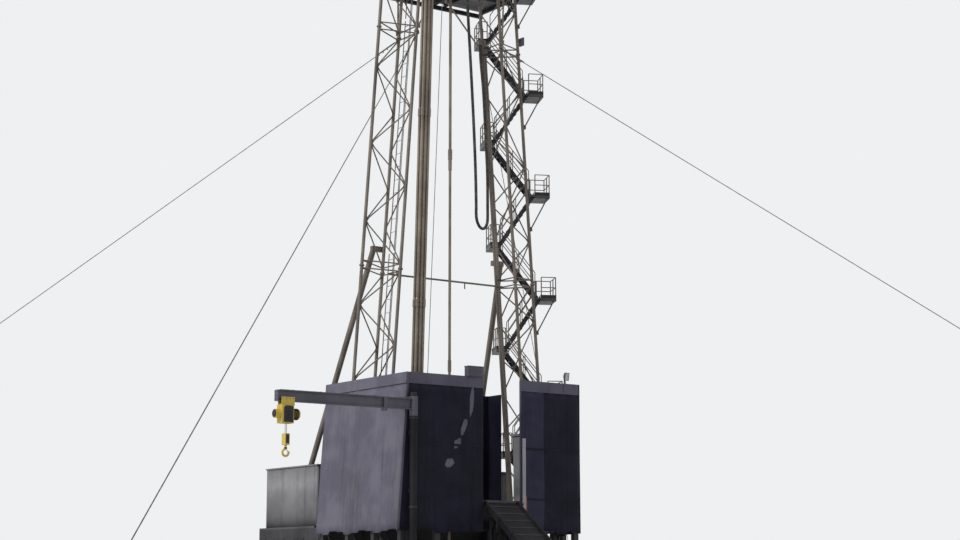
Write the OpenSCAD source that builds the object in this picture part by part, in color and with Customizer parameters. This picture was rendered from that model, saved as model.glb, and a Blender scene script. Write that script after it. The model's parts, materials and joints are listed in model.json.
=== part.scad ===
// Land drilling rig with a two-legged lattice mast, as a scale model at 1:2.
// Origin on the ground under the well centre, +Z up, the V-door faces -Y. All lengths in millimetres.

/* [Mast legs] */
// Half distance between the inner faces of the two legs, at floor level
mast_half_gap = 1985; // [1980:1:2000]
// Inward lean of each leg, degrees from upright
mast_lean = 4.06; // [4:0.01:4.12]
// Width of a leg's inner face, between chord axes
leg_w = 755; // [745:1:757]
// Depth of a leg, from its inner face to its outer chord
leg_d = 790; // [780:1:793]
// Radius of the chord tubes
chord_r = 38; // [34:1:40]
// Radius of the bracing tubes
brace_r = 16; // [12:1:18]
// Length of the lowest leg section
foot_section_l = 5250; // [5200:1:5300]
// Length of each section above it
section_l = 5660; // [5640:1:5680]
// Bays of bracing in a section
bays = 6; // [4:2:8]
// Radius of the bolted flanges
flange_r = 58; // [52:1:60]
// Thickness of one flange
flange_t = 16; // [10:1:22]
// Thickness of the shoe plate under a leg
shoe_t = 60; // [40:1:80]

/* [Substructure] */
// Height of the drill floor above ground
floor_z = 2600; // [2580:5:2620]
// Thickness of the floor plates
floor_t = 40; // [30:1:50]
// Depth of the beams under the floor
floor_beam_h = 300; // [240:5:360]
// Left edge of the drill floor
floor_x0 = -2825; // [-2828:1:-2820]
// Right edge of the front part of the floor
floor_x1 = 1900; // [1895:1:1910]
// Right edge of the floor beside the leg
floor_x2 = 3120; // [3060:1:3160]
// Front edge of the drill floor
floor_y0 = -2330; // [-2340:1:-2320]
// Rear edge of the drill floor
floor_y1 = 940; // [930:1:950]
// Width of each box of the base
base_w = 1000; // [900:10:1040]
// Height of the base behind the floor
rear_z = 2100; // [2050:5:2150]
// Rear edge of the whole base
rear_y1 = 3750; // [3700:5:3800]
// Width of the skids and beams
beam_w = 120; // [100:1:140]
// Square opening in the floor over the well, half width
well_half = 200; // [180:1:220]

/* [Enclosure] */
// Height of the top of the walls
wall_top = 5250; // [5150:5:5300]
// Height of the bottom edge of the wall skirts
wall_bottom = 1950; // [1900:5:2050]
// Outer face of the left wall at its top
wall_left_top_x = -2685; // [-2700:1:-2680]
// How far the left wall flares out at its bottom edge
wall_flare = 235; // [230:1:250]
// Thickness of the left wall with its lining
wall_left_t = 40; // [30:1:42]
// Thickness of the other walls
wall_t = 30; // [24:1:34]
// Left side of the V-door
v_door_x0 = -735; // [-760:1:-700]
// Right side of the V-door
v_door_x1 = 295; // [270:1:320]
// Width of the wall studs
stud_w = 60; // [40:1:62]
// Height of the cap strip along the top of a wall
cap_h = 240; // [200:1:280]

/* [Rear shed] */
// Left face of the shed
shed_x0 = -2700; // [-2720:1:-2680]
// Right face of the shed
shed_x1 = 2700; // [2680:1:2720]
// Front face of the shed
shed_y0 = 1325; // [1310:1:1340]
// Rear face of the shed
shed_y1 = 3650; // [3620:1:3680]
// Height of the shed walls
shed_h = 1360; // [1300:5:1420]
// Thickness of the shed walls and roof
shed_t = 30; // [24:1:40]

/* [Struts] */
// Distance of a strut's top from the mast centre
strut_top_x = 1800; // [1790:1:1805]
// How far behind the mast a strut's top lies
strut_top_y = 470; // [465:1:480]
// Height of a strut's top
strut_top_z = 8400; // [8380:5:8420]
// Distance of a strut's foot from the mast centre
strut_foot_x = 2420; // [2400:1:2440]
// How far behind the mast a strut's foot lies
strut_foot_y = 2865; // [2860:1:2890]
// Radius of the strut tubes
strut_r = 66; // [60:1:68]

/* [Mast stair] */
// Rise of one flight
flight_rise = 1250; // [1245:1:1255]
// Flights from the floor to the balcony
flights = 10; // [10:2:10]
// Clear width of a flight
flight_w = 250; // [246:1:254]
// Distance of the near flights from the leg's slanting rear face
stair_y0 = 100; // [98:1:104]
// Distance of the outer landings from the leg's inner chord, along that face
outer_off = 1080; // [1070:1:1090]
// Length of an outer landing
outer_l = 385; // [370:1:400]
// Reach of the inner landings past the leg's inner chord
inner_reach = 74; // [66:1:76]
// Length of an inner landing
inner_l = 240; // [230:1:250]
// Thickness of the landings
landing_t = 80; // [70:1:84]
// Treads in a flight
treads = 9; // [8:1:11]
// Depth of a tread
tread_l = 120; // [100:1:130]
// Thickness of the stringer plates
stringer_t = 12; // [8:1:12]
// Upright depth of the stringer plates
stringer_h = 150; // [130:1:170]
// Height of the handrails
rail_h = 500; // [460:5:520]
// Radius of the handrail tubes
rail_r = 11; // [9:1:12]

/* [Balcony] */
// Half width of the balcony
balcony_x = 2150; // [2140:1:2180]
// Front edge of the balcony, ahead of the mast plane
balcony_front = 1800; // [1790:1:1850]
// Rear edge of the balcony, behind the mast plane
balcony_rear = 1750; // [1730:1:1780]
// Half width of the open well in the balcony
balcony_well = 680; // [660:1:690]
// Depth of the cross beams
balcony_beam_h = 100; // [90:1:120]
// Depth of the joists
joist_h = 80; // [70:1:90]
// Width of the balcony's beams and joists
joist_w = 60; // [50:1:64]
// Thickness of the deck plates
deck_t = 20; // [16:1:24]
// Pitch of the pipe fingers
finger_pitch = 110; // [109:1:111]
// Fingers on each side
fingers = 11; // [9:1:11]
// Width of a finger
finger_w = 24; // [20:1:28]

/* [Crown] */
// Depth of the crown beams
crown_beam_h = 200; // [180:1:220]
// Radius at which the line runs on the crown sheaves
crown_sheave_r = 275; // [265:1:280]
// Radius at which the line runs on the travelling block's sheaves
block_sheave_r = 250; // [240:1:255]
// Pitch of the sheaves
sheave_pitch = 75; // [72:1:76]
// Thickness of a sheave
sheave_t = 56; // [50:1:60]
// Radius of the drilling line
line_r = 8; // [6:1:9]
// Distance of the fast line's sheave from the mast centre
fast_x = 390; // [389:1:392]
// Height of the frame over the crown
gantry_h = 1450; // [1300:10:1500]

/* [Hoisted gear] */
// Height of the lower end of the kelly
kelly_z0 = 10650; // [10600:5:10700]
// Length of the kelly
kelly_l = 6850; // [6800:5:6900]
// Distance across the kelly's corners, halved
kelly_r = 38; // [34:1:42]
// Radius of the drill pipe
pipe_r = 32; // [28:1:34]
// Radius of a tool joint
tool_joint_r = 42; // [38:1:46]
// Radius of the rotary hose
hose_r = 35; // [30:1:38]

/* [Jib crane] */
// Distance of the crane post to the left of the well
jib_x = 2625; // [2620:1:2640]
// Distance of the crane post ahead of the well
jib_y = 2500; // [2490:1:2520]
// Radius of the crane post
jib_post_r = 80; // [70:1:90]
// Height of the top of the crane post's shoulder
jib_shoulder_z = 4300; // [4280:1:4310]
// Height of the middle of the boom
jib_z = 4545; // [4535:1:4560]
// Length of the boom from the post's axis
jib_l = 3300; // [3290:5:3400]
// Depth of the boom
jib_h = 225; // [200:1:240]
// Width of the boom's flanges
jib_w = 120; // [110:1:130]
// Radius of the pin that the boom turns on
jib_pin_r = 45; // [40:1:50]
// Running gap at the crane's pin
jib_gap = 1.5; // [1:0.5:3]
// Distance from the post's axis to the hoist
hoist_off = 3065; // [3040:5:3075]
// Height of the hoist's hook block, at its top
hook_top_z = 3790; // [3700:5:3830]

/* [Guys] */
// Reach of a guy along X and along Y
guy_reach = 13950; // [13800:10:14050]
// Radius of a guy wire
guy_r = 9; // [7:1:11]

/* [Hidden] */

// Gap left where one piece rests beside another
seat = 0.3;
// Joint between floor or deck plates
plate_joint = 4;

lean_sin = sin(mast_lean);
lean_cos = cos(mast_lean);
lean_tan = tan(mast_lean);
leg_l = foot_section_l + 3 * section_l;
crown_z = floor_z + leg_l * lean_cos - 30;
crown_deck_z = crown_z + crown_beam_h;
sheave_z = crown_deck_z + crown_sheave_r + 30;
block_z = 20000;
block_top_z = 20500;
hook_z = 19300;
swivel_z = 18500;
kelly_top_z = kelly_z0 + kelly_l;
balcony_z = floor_z + flights * flight_rise;
joist_top = balcony_z - deck_t;
beam_top = joist_top - joist_h;
shed_top = rear_z + shed_h;
well_in = balcony_well - 30;
rear_deck_y0 = floor_y1 + 280;
drum_line_x = 570;
// Slant of the line that crosses from the crown's front to the block's rear
cross_turn = asin((crown_sheave_r + block_sheave_r) / (sheave_z - block_z));
// Front edge of the rear wall's return, behind the flanges of the right leg
return_y0 = leg_w / 2 + flange_r + 25;
// The mast stair runs along the leg's slanting rear face, in two lanes side by side
stair_turn = atan2(leg_w / 2, leg_d / lean_cos);
// Shift of a flight along that face, and half its shift away from it, as the leg leans
flight_shift = flight_rise * lean_tan * cos(stair_turn);
lane_skew = flight_rise * lean_tan * sin(stair_turn) / 2;
lane_2_y0 = stair_y0 + flight_w + 2 * (stringer_t + lane_skew) + 6;
stair_front = stair_y0 - stringer_t - lane_skew;
stair_end = lane_2_y0 + flight_w + stringer_t + lane_skew;
inner_end = inner_l - inner_reach;
outer_end = outer_off + outer_l;
// Rear edge of the side deck by the right leg
side_deck_y1 = 1172;
// Front edges of the way off the stair and of the opening it comes up through
gangway_y0 = -600;
stair_hole_y0 = -60;
wall_front_in = floor_y0 - seat;
wall_front_y = wall_front_in - wall_t;
wall_right_x = floor_x1 + seat;

// Distance of a leg's inner face from the mast centre at height z
function inner_x(z) = mast_half_gap - (z - floor_z) * lean_tan;
// Distance of a leg's outer chord from the mast centre at height z
function apex_x(z) = inner_x(z) + leg_d / lean_cos;
// Place along a leg of a point of its outer chord at height z, and of its inner face
function apex_s(z) = (z - floor_z - leg_d * lean_sin) / lean_cos;
function inner_s(z) = (z - floor_z) / lean_cos;
// Outer face of the left wall at height z
function wall_left_x(z) = wall_left_top_x - wall_flare * (wall_top - z) / (wall_top - wall_bottom);
function mix(a, b, t) = a + (b - a) * t;

steel = "#6f665c";
dark_steel = "#3a3634";
deck_grey = "#55524d";
wall_grey = "#8d8a86";
shed_grey = "#a9a69b";
rope_grey = "#45433f";
hoist_yellow = "#c9a820";

// A round bar from p to q
module bar(p, q, r, sides = 24) {
    v = q - p;
    l = norm(v);
    translate(p)
        rotate([0, acos(v[2] / l), atan2(v[1], v[0])])
            cylinder(h = l, r = r, $fn = sides);
}

// The stair's own frame at height z: x outward along the leg's rear face, y away from it
module at_stair(z) {
    translate([inner_x(z), leg_w / 2, 0])
        rotate([0, 0, -stair_turn])
            children();
}

// A place in that frame, as seen from the ground
function on_stair(z, x, y) = [inner_x(z) + x * cos(stair_turn) + y * sin(stair_turn),
    leg_w / 2 - x * sin(stair_turn) + y * cos(stair_turn), z];

// A box from its low corner to its high corner
module block(lo, hi) {
    translate(lo)
        cube(hi - lo);
}

// An outline in X and Z, given thickness along Y
module side_profile(points, y0, y1) {
    translate([0, y1, 0])
        rotate([90, 0, 0])
            linear_extrude(height = y1 - y0)
                polygon(points);
}

// An outline in Y and Z, given thickness along X
module cross_profile(points, x0, x1) {
    translate([x0, 0, 0])
        rotate([90, 0, 90])
            linear_extrude(height = x1 - x0)
                polygon(points);
}

module both_sides() {
    children();
    mirror([1, 0, 0])
        children();
}

// The frame of the right leg: x outward from its inner face, z up along its lean
module on_leg() {
    translate([mast_half_gap, 0, floor_z])
        rotate([0, -mast_lean, 0])
            children();
}

// Places in a leg's own frame
function inner_front(s) = [0, -leg_w / 2, s];
function inner_rear(s) = [0, leg_w / 2, s];
function outer(s) = [leg_d, 0, s];

module brace(p, q) {
    bar(p, q, brace_r, 8);
}

// A flange, or two seen as one thick ring, on each chord
module flanges(s0, s1) {
    for (p = [inner_front(s0), inner_rear(s0), outer(s0)])
        translate(p)
            cylinder(h = s1 - s0, r = flange_r, $fn = 24);
}

module leg_triangle(s) {
    brace(inner_front(s), inner_rear(s));
    brace(inner_rear(s), outer(s));
    brace(outer(s), inner_front(s));
}

// One section: three chords, zigzag bracing in its three faces, a triangle at each end of it
module leg_section(s0, s1, high_gap) {
    low = s0 + 2 * flange_r;
    high = s1 - high_gap;
    step = (high - low) / bays;
    for (p = [inner_front(s0), inner_rear(s0), outer(s0)])
        bar(p, p + [0, 0, s1 - s0], chord_r);
    for (i = [0 : 2 : bays - 1]) {
        s = low + i * step;
        brace(inner_rear(s), outer(s + step));
        brace(outer(s + step), inner_rear(s + 2 * step));
        brace(inner_front(s), inner_rear(s + step));
        brace(inner_rear(s + step), inner_front(s + 2 * step));
        brace(inner_front(s), outer(s + step));
        brace(outer(s + step), inner_front(s + 2 * step));
    }
    leg_triangle(low);
    leg_triangle(high);
}

module leg_lower() {
    mid = foot_section_l;
    top = mid + section_l;
    difference() {
        on_leg()
            union() {
                leg_section(0, mid, flange_r);
                leg_section(mid, top, flange_r);
                flanges(mid - flange_t, mid + flange_t);
                flanges(top - flange_t, top);
            }
        block([0, -leg_w, floor_z - 400], [2 * mast_half_gap, leg_w, floor_z + shoe_t]);
    }
}

module leg_upper() {
    mid = foot_section_l + 2 * section_l;
    difference() {
        on_leg()
            union() {
                leg_section(mid - section_l, mid, flange_r);
                leg_section(mid, leg_l, 3 * flange_r);
                flanges(mid - section_l, mid - section_l + flange_t);
                flanges(mid - flange_t, mid + flange_t);
            }
        block([0, -leg_w, crown_z], [2 * mast_half_gap, leg_w, crown_z + 400]);
    }
}

module left_leg_lower() {
    color(steel)
        mirror([1, 0, 0])
            leg_lower();
}

module left_leg_upper() {
    color(steel)
        mirror([1, 0, 0])
            leg_upper();
}

module right_leg_lower() {
    color(steel)
        leg_lower();
}

module right_leg_upper() {
    color(steel)
        leg_upper();
}

// Shoe plates that carry the legs on the drill floor
module mast_shoes() {
    color(dark_steel)
        both_sides()
            translate([mast_half_gap, 0, floor_z])
                linear_extrude(height = shoe_t)
                    polygon([[-90, -leg_w / 2 - 100], [110, -leg_w / 2 - 100], [leg_d + chord_r + 7, -110],
                        [leg_d + chord_r + 7, 110], [110, leg_w / 2 + 100], [-90, leg_w / 2 + 100]]);
}

// A braced box of posts and beams on two skids
module frame_box(x0, x1, y0, y1, top) {
    bay = (y1 - y0 - beam_w) / ceil((y1 - y0 - beam_w) / 1300);
    low = 2 * beam_w;
    high = top - floor_beam_h;
    for (x = [x0, x1 - beam_w]) {
        block([x, y0, 0], [x + beam_w, y1, low]);
        block([x, y0, high], [x + beam_w, y1, top]);
        for (y = [y0 : bay : y1 - beam_w + 1])
            block([x, y, 0], [x + beam_w, y + beam_w, top]);
        for (y = [y0 : bay : y1 - beam_w - 1])
            bar([x + beam_w / 2, y + beam_w / 2, low - 40],
                [x + beam_w / 2, y + bay + beam_w / 2, high + 40], 34, 8);
    }
    for (y = [y0 : bay : y1 - beam_w + 1], z = [0, high])
        block([x0, y, z], [x1, y + beam_w, z + beam_w]);
}

module substructure() {
    top = floor_z - floor_t;
    right = floor_x1 + 60;
    color(dark_steel) {
        frame_box(floor_x0, floor_x0 + base_w, floor_y0, floor_y1, top);
        frame_box(right, right + base_w, -540, side_deck_y1, top);
        frame_box(floor_x1 - base_w, floor_x1, floor_y0, -660, top);
    }
}

module rear_base() {
    top = rear_z - floor_t;
    right = floor_x1 + 60;
    color(dark_steel) {
        frame_box(floor_x0, floor_x0 + base_w, floor_y1 + 20, rear_y1, top);
        frame_box(right, right + base_w, side_deck_y1 + 20, rear_y1, top);
    }
}

// Beams across between the boxes, under the floor and at the ground
module base_ties() {
    top = floor_z - floor_t;
    left = floor_x0 + base_w + seat;
    right = floor_x1 + 60 - seat;
    front = floor_x1 - base_w - seat;
    color(dark_steel) {
        for (y = [-500, 380])
            block([left, y, top - floor_beam_h], [right, y + beam_w, top]);
        for (y = [floor_y0, -1450])
            block([left, y, top - floor_beam_h], [front, y + beam_w, top]);
        block([left, 380, 0], [right, 380 + beam_w, 2 * beam_w]);
        for (y = [1400, 2500, 3500])
            block([left, y, rear_z - floor_t - floor_beam_h], [right, y + beam_w, rear_z - floor_t]);
    }
}

// Floor plates round the square opening over the well, and the lower deck behind
module drill_floor() {
    z0 = floor_z - floor_t;
    w = well_half;
    in = w - plate_joint;
    foot_x1 = on_stair(floor_z, outer_end, stair_end)[0];
    foot_y1 = 680;
    color(deck_grey) {
        block([floor_x0, floor_y0, z0], [-w, floor_y1, floor_z]);
        block([-in, floor_y0, z0], [in, -w, floor_z]);
        block([-in, w, z0], [in, floor_y1, floor_z]);
        block([w, floor_y0, z0], [floor_x1, floor_y1, floor_z]);
        block([floor_x1 + plate_joint, -540, z0], [floor_x2, side_deck_y1, floor_z]);
        block([floor_x2 + plate_joint, 0, z0], [foot_x1, foot_y1, floor_z]);
        // Bracket under the foot of the stair
        block([floor_x1 + 60 + base_w + seat, 200, z0 - 60], [foot_x1 - 60, foot_y1 - 200, z0]);
        block([floor_x0, rear_deck_y0, rear_z - floor_t], [floor_x1 + 60 + base_w, rear_y1, rear_z]);
    }
}

// Table over the well: a low housing with the bore that the pipe turns in
module rotary_table() {
    color(dark_steel)
        difference() {
            union() {
                block([-450, -350, floor_z], [450, 350, floor_z + 120]);
                translate([0, 0, floor_z + 110])
                    cylinder(h = 50, r = 300, $fn = 48);
                block([250, -60, floor_z + 20], [700, 60, floor_z + 140]);
            }
            translate([0, 0, floor_z - 10])
                cylinder(h = 200, r = 140, $fn = 48);
        }
}

module rear_struts() {
    top = [strut_top_x, strut_top_y, strut_top_z];
    foot = [strut_foot_x, strut_foot_y, rear_z + 25];
    color(steel)
        both_sides() {
            difference() {
                bar(top, foot + (foot - top) * 0.02, strut_r);
                block([foot[0] - 500, foot[1] - 500, rear_z - 400], [foot[0] + 500, foot[1] + 500, rear_z + 25]);
            }
            block([foot[0] - 160, foot[1] - 160, rear_z], [foot[0] + 160, foot[1] + 160, rear_z + 25]);
            // Bracket at the top, out from the leg's rear chord
            block([inner_x(strut_top_z) - 30, leg_w / 2 + chord_r + seat, strut_top_z - 60],
                [strut_top_x + 60, strut_top_y + 50, strut_top_z + 60]);
        }
}

// The bar between the legs, and the knee braces under the balcony
module mast_ties() {
    s = foot_section_l - flange_r;
    z = floor_z + s * lean_cos;
    x = mast_half_gap - s * lean_sin - brace_r / lean_cos - seat;
    knee_z = floor_z + (foot_section_l + section_l) * lean_cos + 120;
    knee_x = inner_x(knee_z);
    pad_x = balcony_well + joist_w / 2;
    tie_y = 110;
    color(steel) {
        bar([-x, tie_y, z], [x, tie_y, z], 22);
        bar([500, tie_y, z - 150], [500, tie_y, z], 14);
        both_sides()
            for (side = [-1, 1]) {
                clip_y = side * (leg_w / 2 + chord_r + seat + 20);
                bar([knee_x, clip_y, knee_z], [pad_x, side * 1200, beam_top - 40], 20, 12);
                translate([knee_x, clip_y, knee_z])
                    cube([90, 40, 110], center = true);
                translate([pad_x, side * 1200, beam_top - 40])
                    cube([joist_w, 90, 80 - 2 * seat], center = true);
            }
    }
}

// Ladder up the inside of the left leg
module leg_ladder() {
    color(steel)
        mirror([1, 0, 0])
            on_leg()
                for (s0 = [120 : 5600 : leg_l - 5600]) {
                    for (y = [-110, 90])
                        translate([brace_r + seat, y, s0])
                            cube([14, 20, 5540]);
                    for (s = [s0 + 120 : 310 : s0 + 5500])
                        translate([brace_r + seat + 2, -100, s])
                            cube([9, 200, 9]);
                }
}

// Beams on top of the legs, and the plates round the opening for the sheaves
module crown_frame() {
    leg_y = leg_w / 2;
    outer_x = apex_x(crown_z);
    top = crown_deck_z;
    color(dark_steel) {
        for (y = [-leg_y - 70, leg_y - 30])
            block([-outer_x - 60, y, crown_z], [outer_x + 60, y + 100, top]);
        for (x = [-outer_x - 60, -740, -240, 170, 290, 440, 660, outer_x - 60])
            block([x, -leg_y, crown_z], [x + (abs(x) < 600 ? 60 : 100), leg_y, top]);
        for (x0 = [-outer_x - 60, 600])
            block([x0, -leg_y - 70, top - 10], [x0 + outer_x - 540, leg_y + 70, top + 16]);
    }
}

// Bearing plates that carry the sheaves' axle
module crown_block() {
    color(steel)
        for (x = [-225, 185, 320, 450])
            difference() {
                cross_profile([[-300, crown_deck_z], [300, crown_deck_z], [90, sheave_z + 90], [-90, sheave_z + 90]],
                    x, x + 30);
                bar([x - 10, 0, sheave_z], [x + 40, 0, sheave_z], 45 + seat);
            }
}

// Half section of a sheave: hub, web and grooved rim
module sheave(x, z, run_r) {
    t = sheave_t / 2;
    groove = run_r - line_r - seat;
    way = line_r + 4;
    rim = run_r + 16;
    translate([x, 0, z])
        rotate([0, 90, 0])
            rotate_extrude($fn = 64)
                polygon([[0, -t], [85, -t], [85, -10], [run_r - 45, -10], [run_r - 45, -t + 4], [rim, -t + 4],
                    [rim, -t + 8], [groove, -way], [groove, way], [rim, t - 8], [rim, t - 4],
                    [run_r - 45, t - 4], [run_r - 45, 10], [85, 10], [85, t], [0, t]]);
}

module crown_sheaves() {
    color(dark_steel) {
        bar([-250, 0, sheave_z], [490, 0, sheave_z], 45);
        for (j = [0 : 3])
            sheave((j - 2) * sheave_pitch + 20, sheave_z, crown_sheave_r);
        sheave(fast_x, sheave_z, crown_sheave_r);
    }
}

// Posts standing on a deck with a top and a middle rail along the run from p to q
module guard_rail(p, q, posts) {
    up = [0, 0, rail_h];
    for (i = [0 : posts - 1]) {
        at = mix(p, q, i / (posts - 1));
        translate(at - [rail_r, rail_r, 0])
            cube([2 * rail_r, 2 * rail_r, rail_h]);
    }
    bar(p + up, q + up, rail_r, 8);
    bar(p + up * 0.5, q + up * 0.5, rail_r, 8);
}

module crown_rails() {
    x = apex_x(crown_z) + 40;
    y = leg_w / 2 + 50;
    z = crown_deck_z + 16;
    color(steel)
        for (side = [-1, 1]) {
            guard_rail([side * x, -y, z], [side * x, y, z], 4);
            guard_rail([side * x, -y, z], [side * 640, -y, z], 3);
            guard_rail([side * x, y, z], [side * 640, y, z], 3);
        }
}

// Frame over the crown, from which the sheaves are lifted out
module crown_gantry() {
    y = leg_w / 2 + 20;
    x = 560;
    z = crown_deck_z;
    top = z + gantry_h;
    color(steel)
        difference() {
            union() {
                for (side = [-1, 1]) {
                    bar([side * x, -y, z - 40], [side * 140, -y, top - 30], 30);
                    bar([side * x, y, z - 40], [side * 140, y, top - 30], 30);
                    block([side * 140 - 30, -y - 60, top - 60], [side * 140 + 30, y + 60, top]);
                    bar([side * x, -y, z + 120], [side * x, y, z + 120], 24);
                }
                block([-170, -y - 30, top - 60], [170, -y + 30, top]);
                block([-170, y - 30, top - 60], [170, y + 30, top]);
                block([-40, -y - 120, top - 60], [40, y + 120, top]);
            }
            block([-900, -900, z - 200], [900, 900, z]);
        }
}

// Line along a sheave's rim, over its top and on past its front by some degrees
module over_sheave(x, z, run_r, past = 0) {
    translate([x, 0, z])
        rotate([90, 0, 90])
            rotate_extrude(angle = 180 + past, $fn = 64)
                translate([run_r, 0])
                    circle(r = line_r, $fn = 16);
}

// Eight lines between the crown and the travelling block
module drilling_lines() {
    color(rope_grey) {
        for (j = [0 : 3])
            bar([(j - 2) * sheave_pitch + 20, -crown_sheave_r, sheave_z - 2 * seat],
                [(j - 1.5) * sheave_pitch, -block_sheave_r, block_z], line_r, 12);
        for (j = [0 : 2])
            bar([(j - 1) * sheave_pitch + 20, crown_sheave_r, sheave_z - 2 * seat],
                [(j - 1.5) * sheave_pitch, block_sheave_r, block_z], line_r, 12);
        // The last one crosses over, from the front of the fast sheave to the rear of the block's
        bar([fast_x, -crown_sheave_r * cos(cross_turn), sheave_z - crown_sheave_r * sin(cross_turn) - 2 * seat],
            [1.5 * sheave_pitch, block_sheave_r * cos(cross_turn), block_z + block_sheave_r * sin(cross_turn)],
            line_r, 12);
    }
}

// The line's run to the drum, the dead end at the leg, and the turns over the crown
module fast_and_dead_line() {
    drum = [drum_line_x, drum_y - drum_line_r, drum_z];
    color(rope_grey) {
        for (j = [0 : 3])
            over_sheave((j - 2) * sheave_pitch + 20, sheave_z, crown_sheave_r);
        over_sheave(fast_x, sheave_z, crown_sheave_r, cross_turn);
        bar([fast_x, crown_sheave_r, sheave_z], drum, line_r, 12);
        bar(dead_top, dead_foot, line_r, 12);
        // Dead line anchor on the floor
        translate([dead_foot[0], dead_foot[1], floor_z + 15])
            cube([180, 120, 30], center = true);
        bar([dead_foot[0], dead_foot[1], floor_z], dead_foot + [0, 0, 10], 60);
    }
}

dead_top = [20 - 2 * sheave_pitch, crown_sheave_r, sheave_z];
dead_foot = [-1700, 300, floor_z + 420];

module travelling_block() {
    x = 2 * sheave_pitch + 16;
    color(hoist_yellow) {
        for (side = [-1, 1])
            hull() {
                translate([side * x - 12, 0, block_z])
                    rotate([0, 90, 0])
                        cylinder(h = 24, r = block_sheave_r + 30, $fn = 32);
                block([side * x - 12, -90, hook_z], [side * x + 12, 90, hook_z + 100]);
                block([side * x - 12, -120, block_top_z - 60], [side * x + 12, 120, block_top_z]);
            }
        block([-x - 12, -60, block_top_z - 60], [x + 12, 60, block_top_z]);
        block([-x - 12, -100, hook_z], [x + 12, 100, hook_z + 90]);
        for (j = [0 : 3])
            sheave((j - 1.5) * sheave_pitch, block_z, block_sheave_r);
        bar([-x - 40, 0, block_z], [x + 40, 0, block_z], 50);
    }
}

// Spring body over a closed hook that holds the swivel's bail
module hook() {
    ring_z = swivel_z + 65;
    color(steel) {
        bar([0, 0, hook_z - 90], [0, 0, hook_z], 70);
        bar([0, 0, hook_z - 520], [0, 0, hook_z - 90], 120, 32);
        bar([0, 0, ring_z + 60], [0, 0, hook_z - 500], 55);
        translate([0, 0, ring_z])
            rotate([90, 0, 0])
                rotate_extrude($fn = 48)
                    translate([78, 0])
                        circle(r = 32, $fn = 24);
    }
}

// Bail, body and gooseneck that the rotary hose hangs from
module swivel() {
    bail_r = 26;
    bail_y = 150;
    // The bail rests in the hook's ring
    top = swivel_z + 65 - 78 + 32 + bail_r + seat;
    color(dark_steel) {
        for (side = [-1, 1])
            bar([0, side * bail_y, kelly_top_z + 480], [0, side * bail_y, top - bail_y], bail_r);
        translate([0, 0, top - bail_y])
            rotate([90, 0, 90])
                rotate_extrude(angle = 180, $fn = 64)
                    translate([bail_y, 0])
                        circle(r = bail_r, $fn = 24);
        bar([0, 0, kelly_top_z + 180], [0, 0, kelly_top_z + 520], 165, 32);
        bar([0, 0, kelly_top_z], [0, 0, kelly_top_z + 200], 90, 32);
        bar([0, 0, kelly_top_z + 500], [0, 0, kelly_top_z + 590], 75, 32);
        // Gooseneck, down to the hose's end
        gooseneck(hose_route[0], [0, 0, kelly_top_z + 540]);
    }
}

// A pipe from a riser's top over to a hose end that points down
module gooseneck(end, from) {
    drop = [end[0], end[1], from[2]];
    bar(from, drop, 32);
    for (corner = [from, drop])
        translate(corner)
            sphere(r = 37, $fn = 24);
    bar(end, drop, 32);
    bar(end, end + [0, 0, 90], hose_r + 8);
}

module kelly() {
    color(steel) {
        bar([0, 0, kelly_z0], [0, 0, kelly_top_z], kelly_r, 6);
        bar([0, 0, kelly_top_z - 160], [0, 0, kelly_top_z], kelly_r + 14);
        bar([0, 0, kelly_z0], [0, 0, kelly_z0 + 240], kelly_r + 12);
    }
}

// The string of pipe below the kelly, down to the well
module drill_pipe() {
    foot = 40;
    color(steel) {
        bar([0, 0, foot], [0, 0, kelly_z0], pipe_r);
        for (z = [kelly_z0 : -4750 : foot + 300])
            bar([0, 0, z - 260], [0, 0, z], tool_joint_r);
    }
}

// Riser clamped to the right leg's inner face, with its gooseneck
module standpipe() {
    end = hose_route[len(hose_route) - 1];
    top_s = inner_s(end[2] + 110);
    color(steel) {
        on_leg() {
            bar([standpipe_x, standpipe_y, shoe_t + 20], [standpipe_x, standpipe_y, top_s], 32);
            for (s = [foot_section_l, foot_section_l + section_l], off = [-flange_r, 2 * flange_r])
                if (s + off < top_s)
                    block([standpipe_x, standpipe_y - 25, s + off - 18],
                        [-brace_r - seat, standpipe_y + 25, s + off + 18]);
            block([standpipe_x, standpipe_y - 25, 2 * flange_r - 18],
                [-brace_r - seat, standpipe_y + 25, 2 * flange_r + 18]);
        }
        top_z = floor_z + top_s * lean_cos + standpipe_x * lean_sin;
        gooseneck(end, [inner_x(top_z) + standpipe_x / lean_cos, standpipe_y, top_z]);
    }
}

// A free rope or hose along its route, as one tube of flat facets
module swept_tube(route, r, side) {
    sides = 8;
    n = len(route);
    // Both ends stand upright in their fittings
    function tangent(i) = i == 0 ? [0, 0, -1] : i == n - 1 ? [0, 0, 1] : route[i + 1] - route[i - 1];
    rings = [for (i = [0 : n - 1])
        let (t = tangent(i) / norm(tangent(i)), u = cross(t, side) / norm(cross(t, side)), v = cross(t, u))
            for (k = [0 : sides - 1])
                route[i] + r * (u * cos(360 * k / sides) + v * sin(360 * k / sides))];
    walls = [for (i = [0 : n - 2], k = [0 : sides - 1])
        let (a = i * sides + k, b = i * sides + (k + 1) % sides)
            [a, b, b + sides, a + sides]];
    first = [for (k = [sides - 1 : -1 : 0]) k];
    last = [for (k = [0 : sides - 1]) (n - 1) * sides + k];
    polyhedron(points = rings, faces = concat([first, last], walls));
}

// A smooth curve through the points of a route
function curve_at(a, b, c, d, t) = 0.5 * (2 * b + (c - a) * t + (2 * a - 5 * b + 4 * c - d) * t * t
    + (3 * b - 3 * c + d - a) * t * t * t);
function smooth(route, per) = concat([for (i = [0 : len(route) - 2], k = [0 : per - 1])
    curve_at(route[max(i - 1, 0)], route[i], route[i + 1], route[min(i + 2, len(route) - 1)], k / per)],
    [route[len(route) - 1]]);

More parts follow.
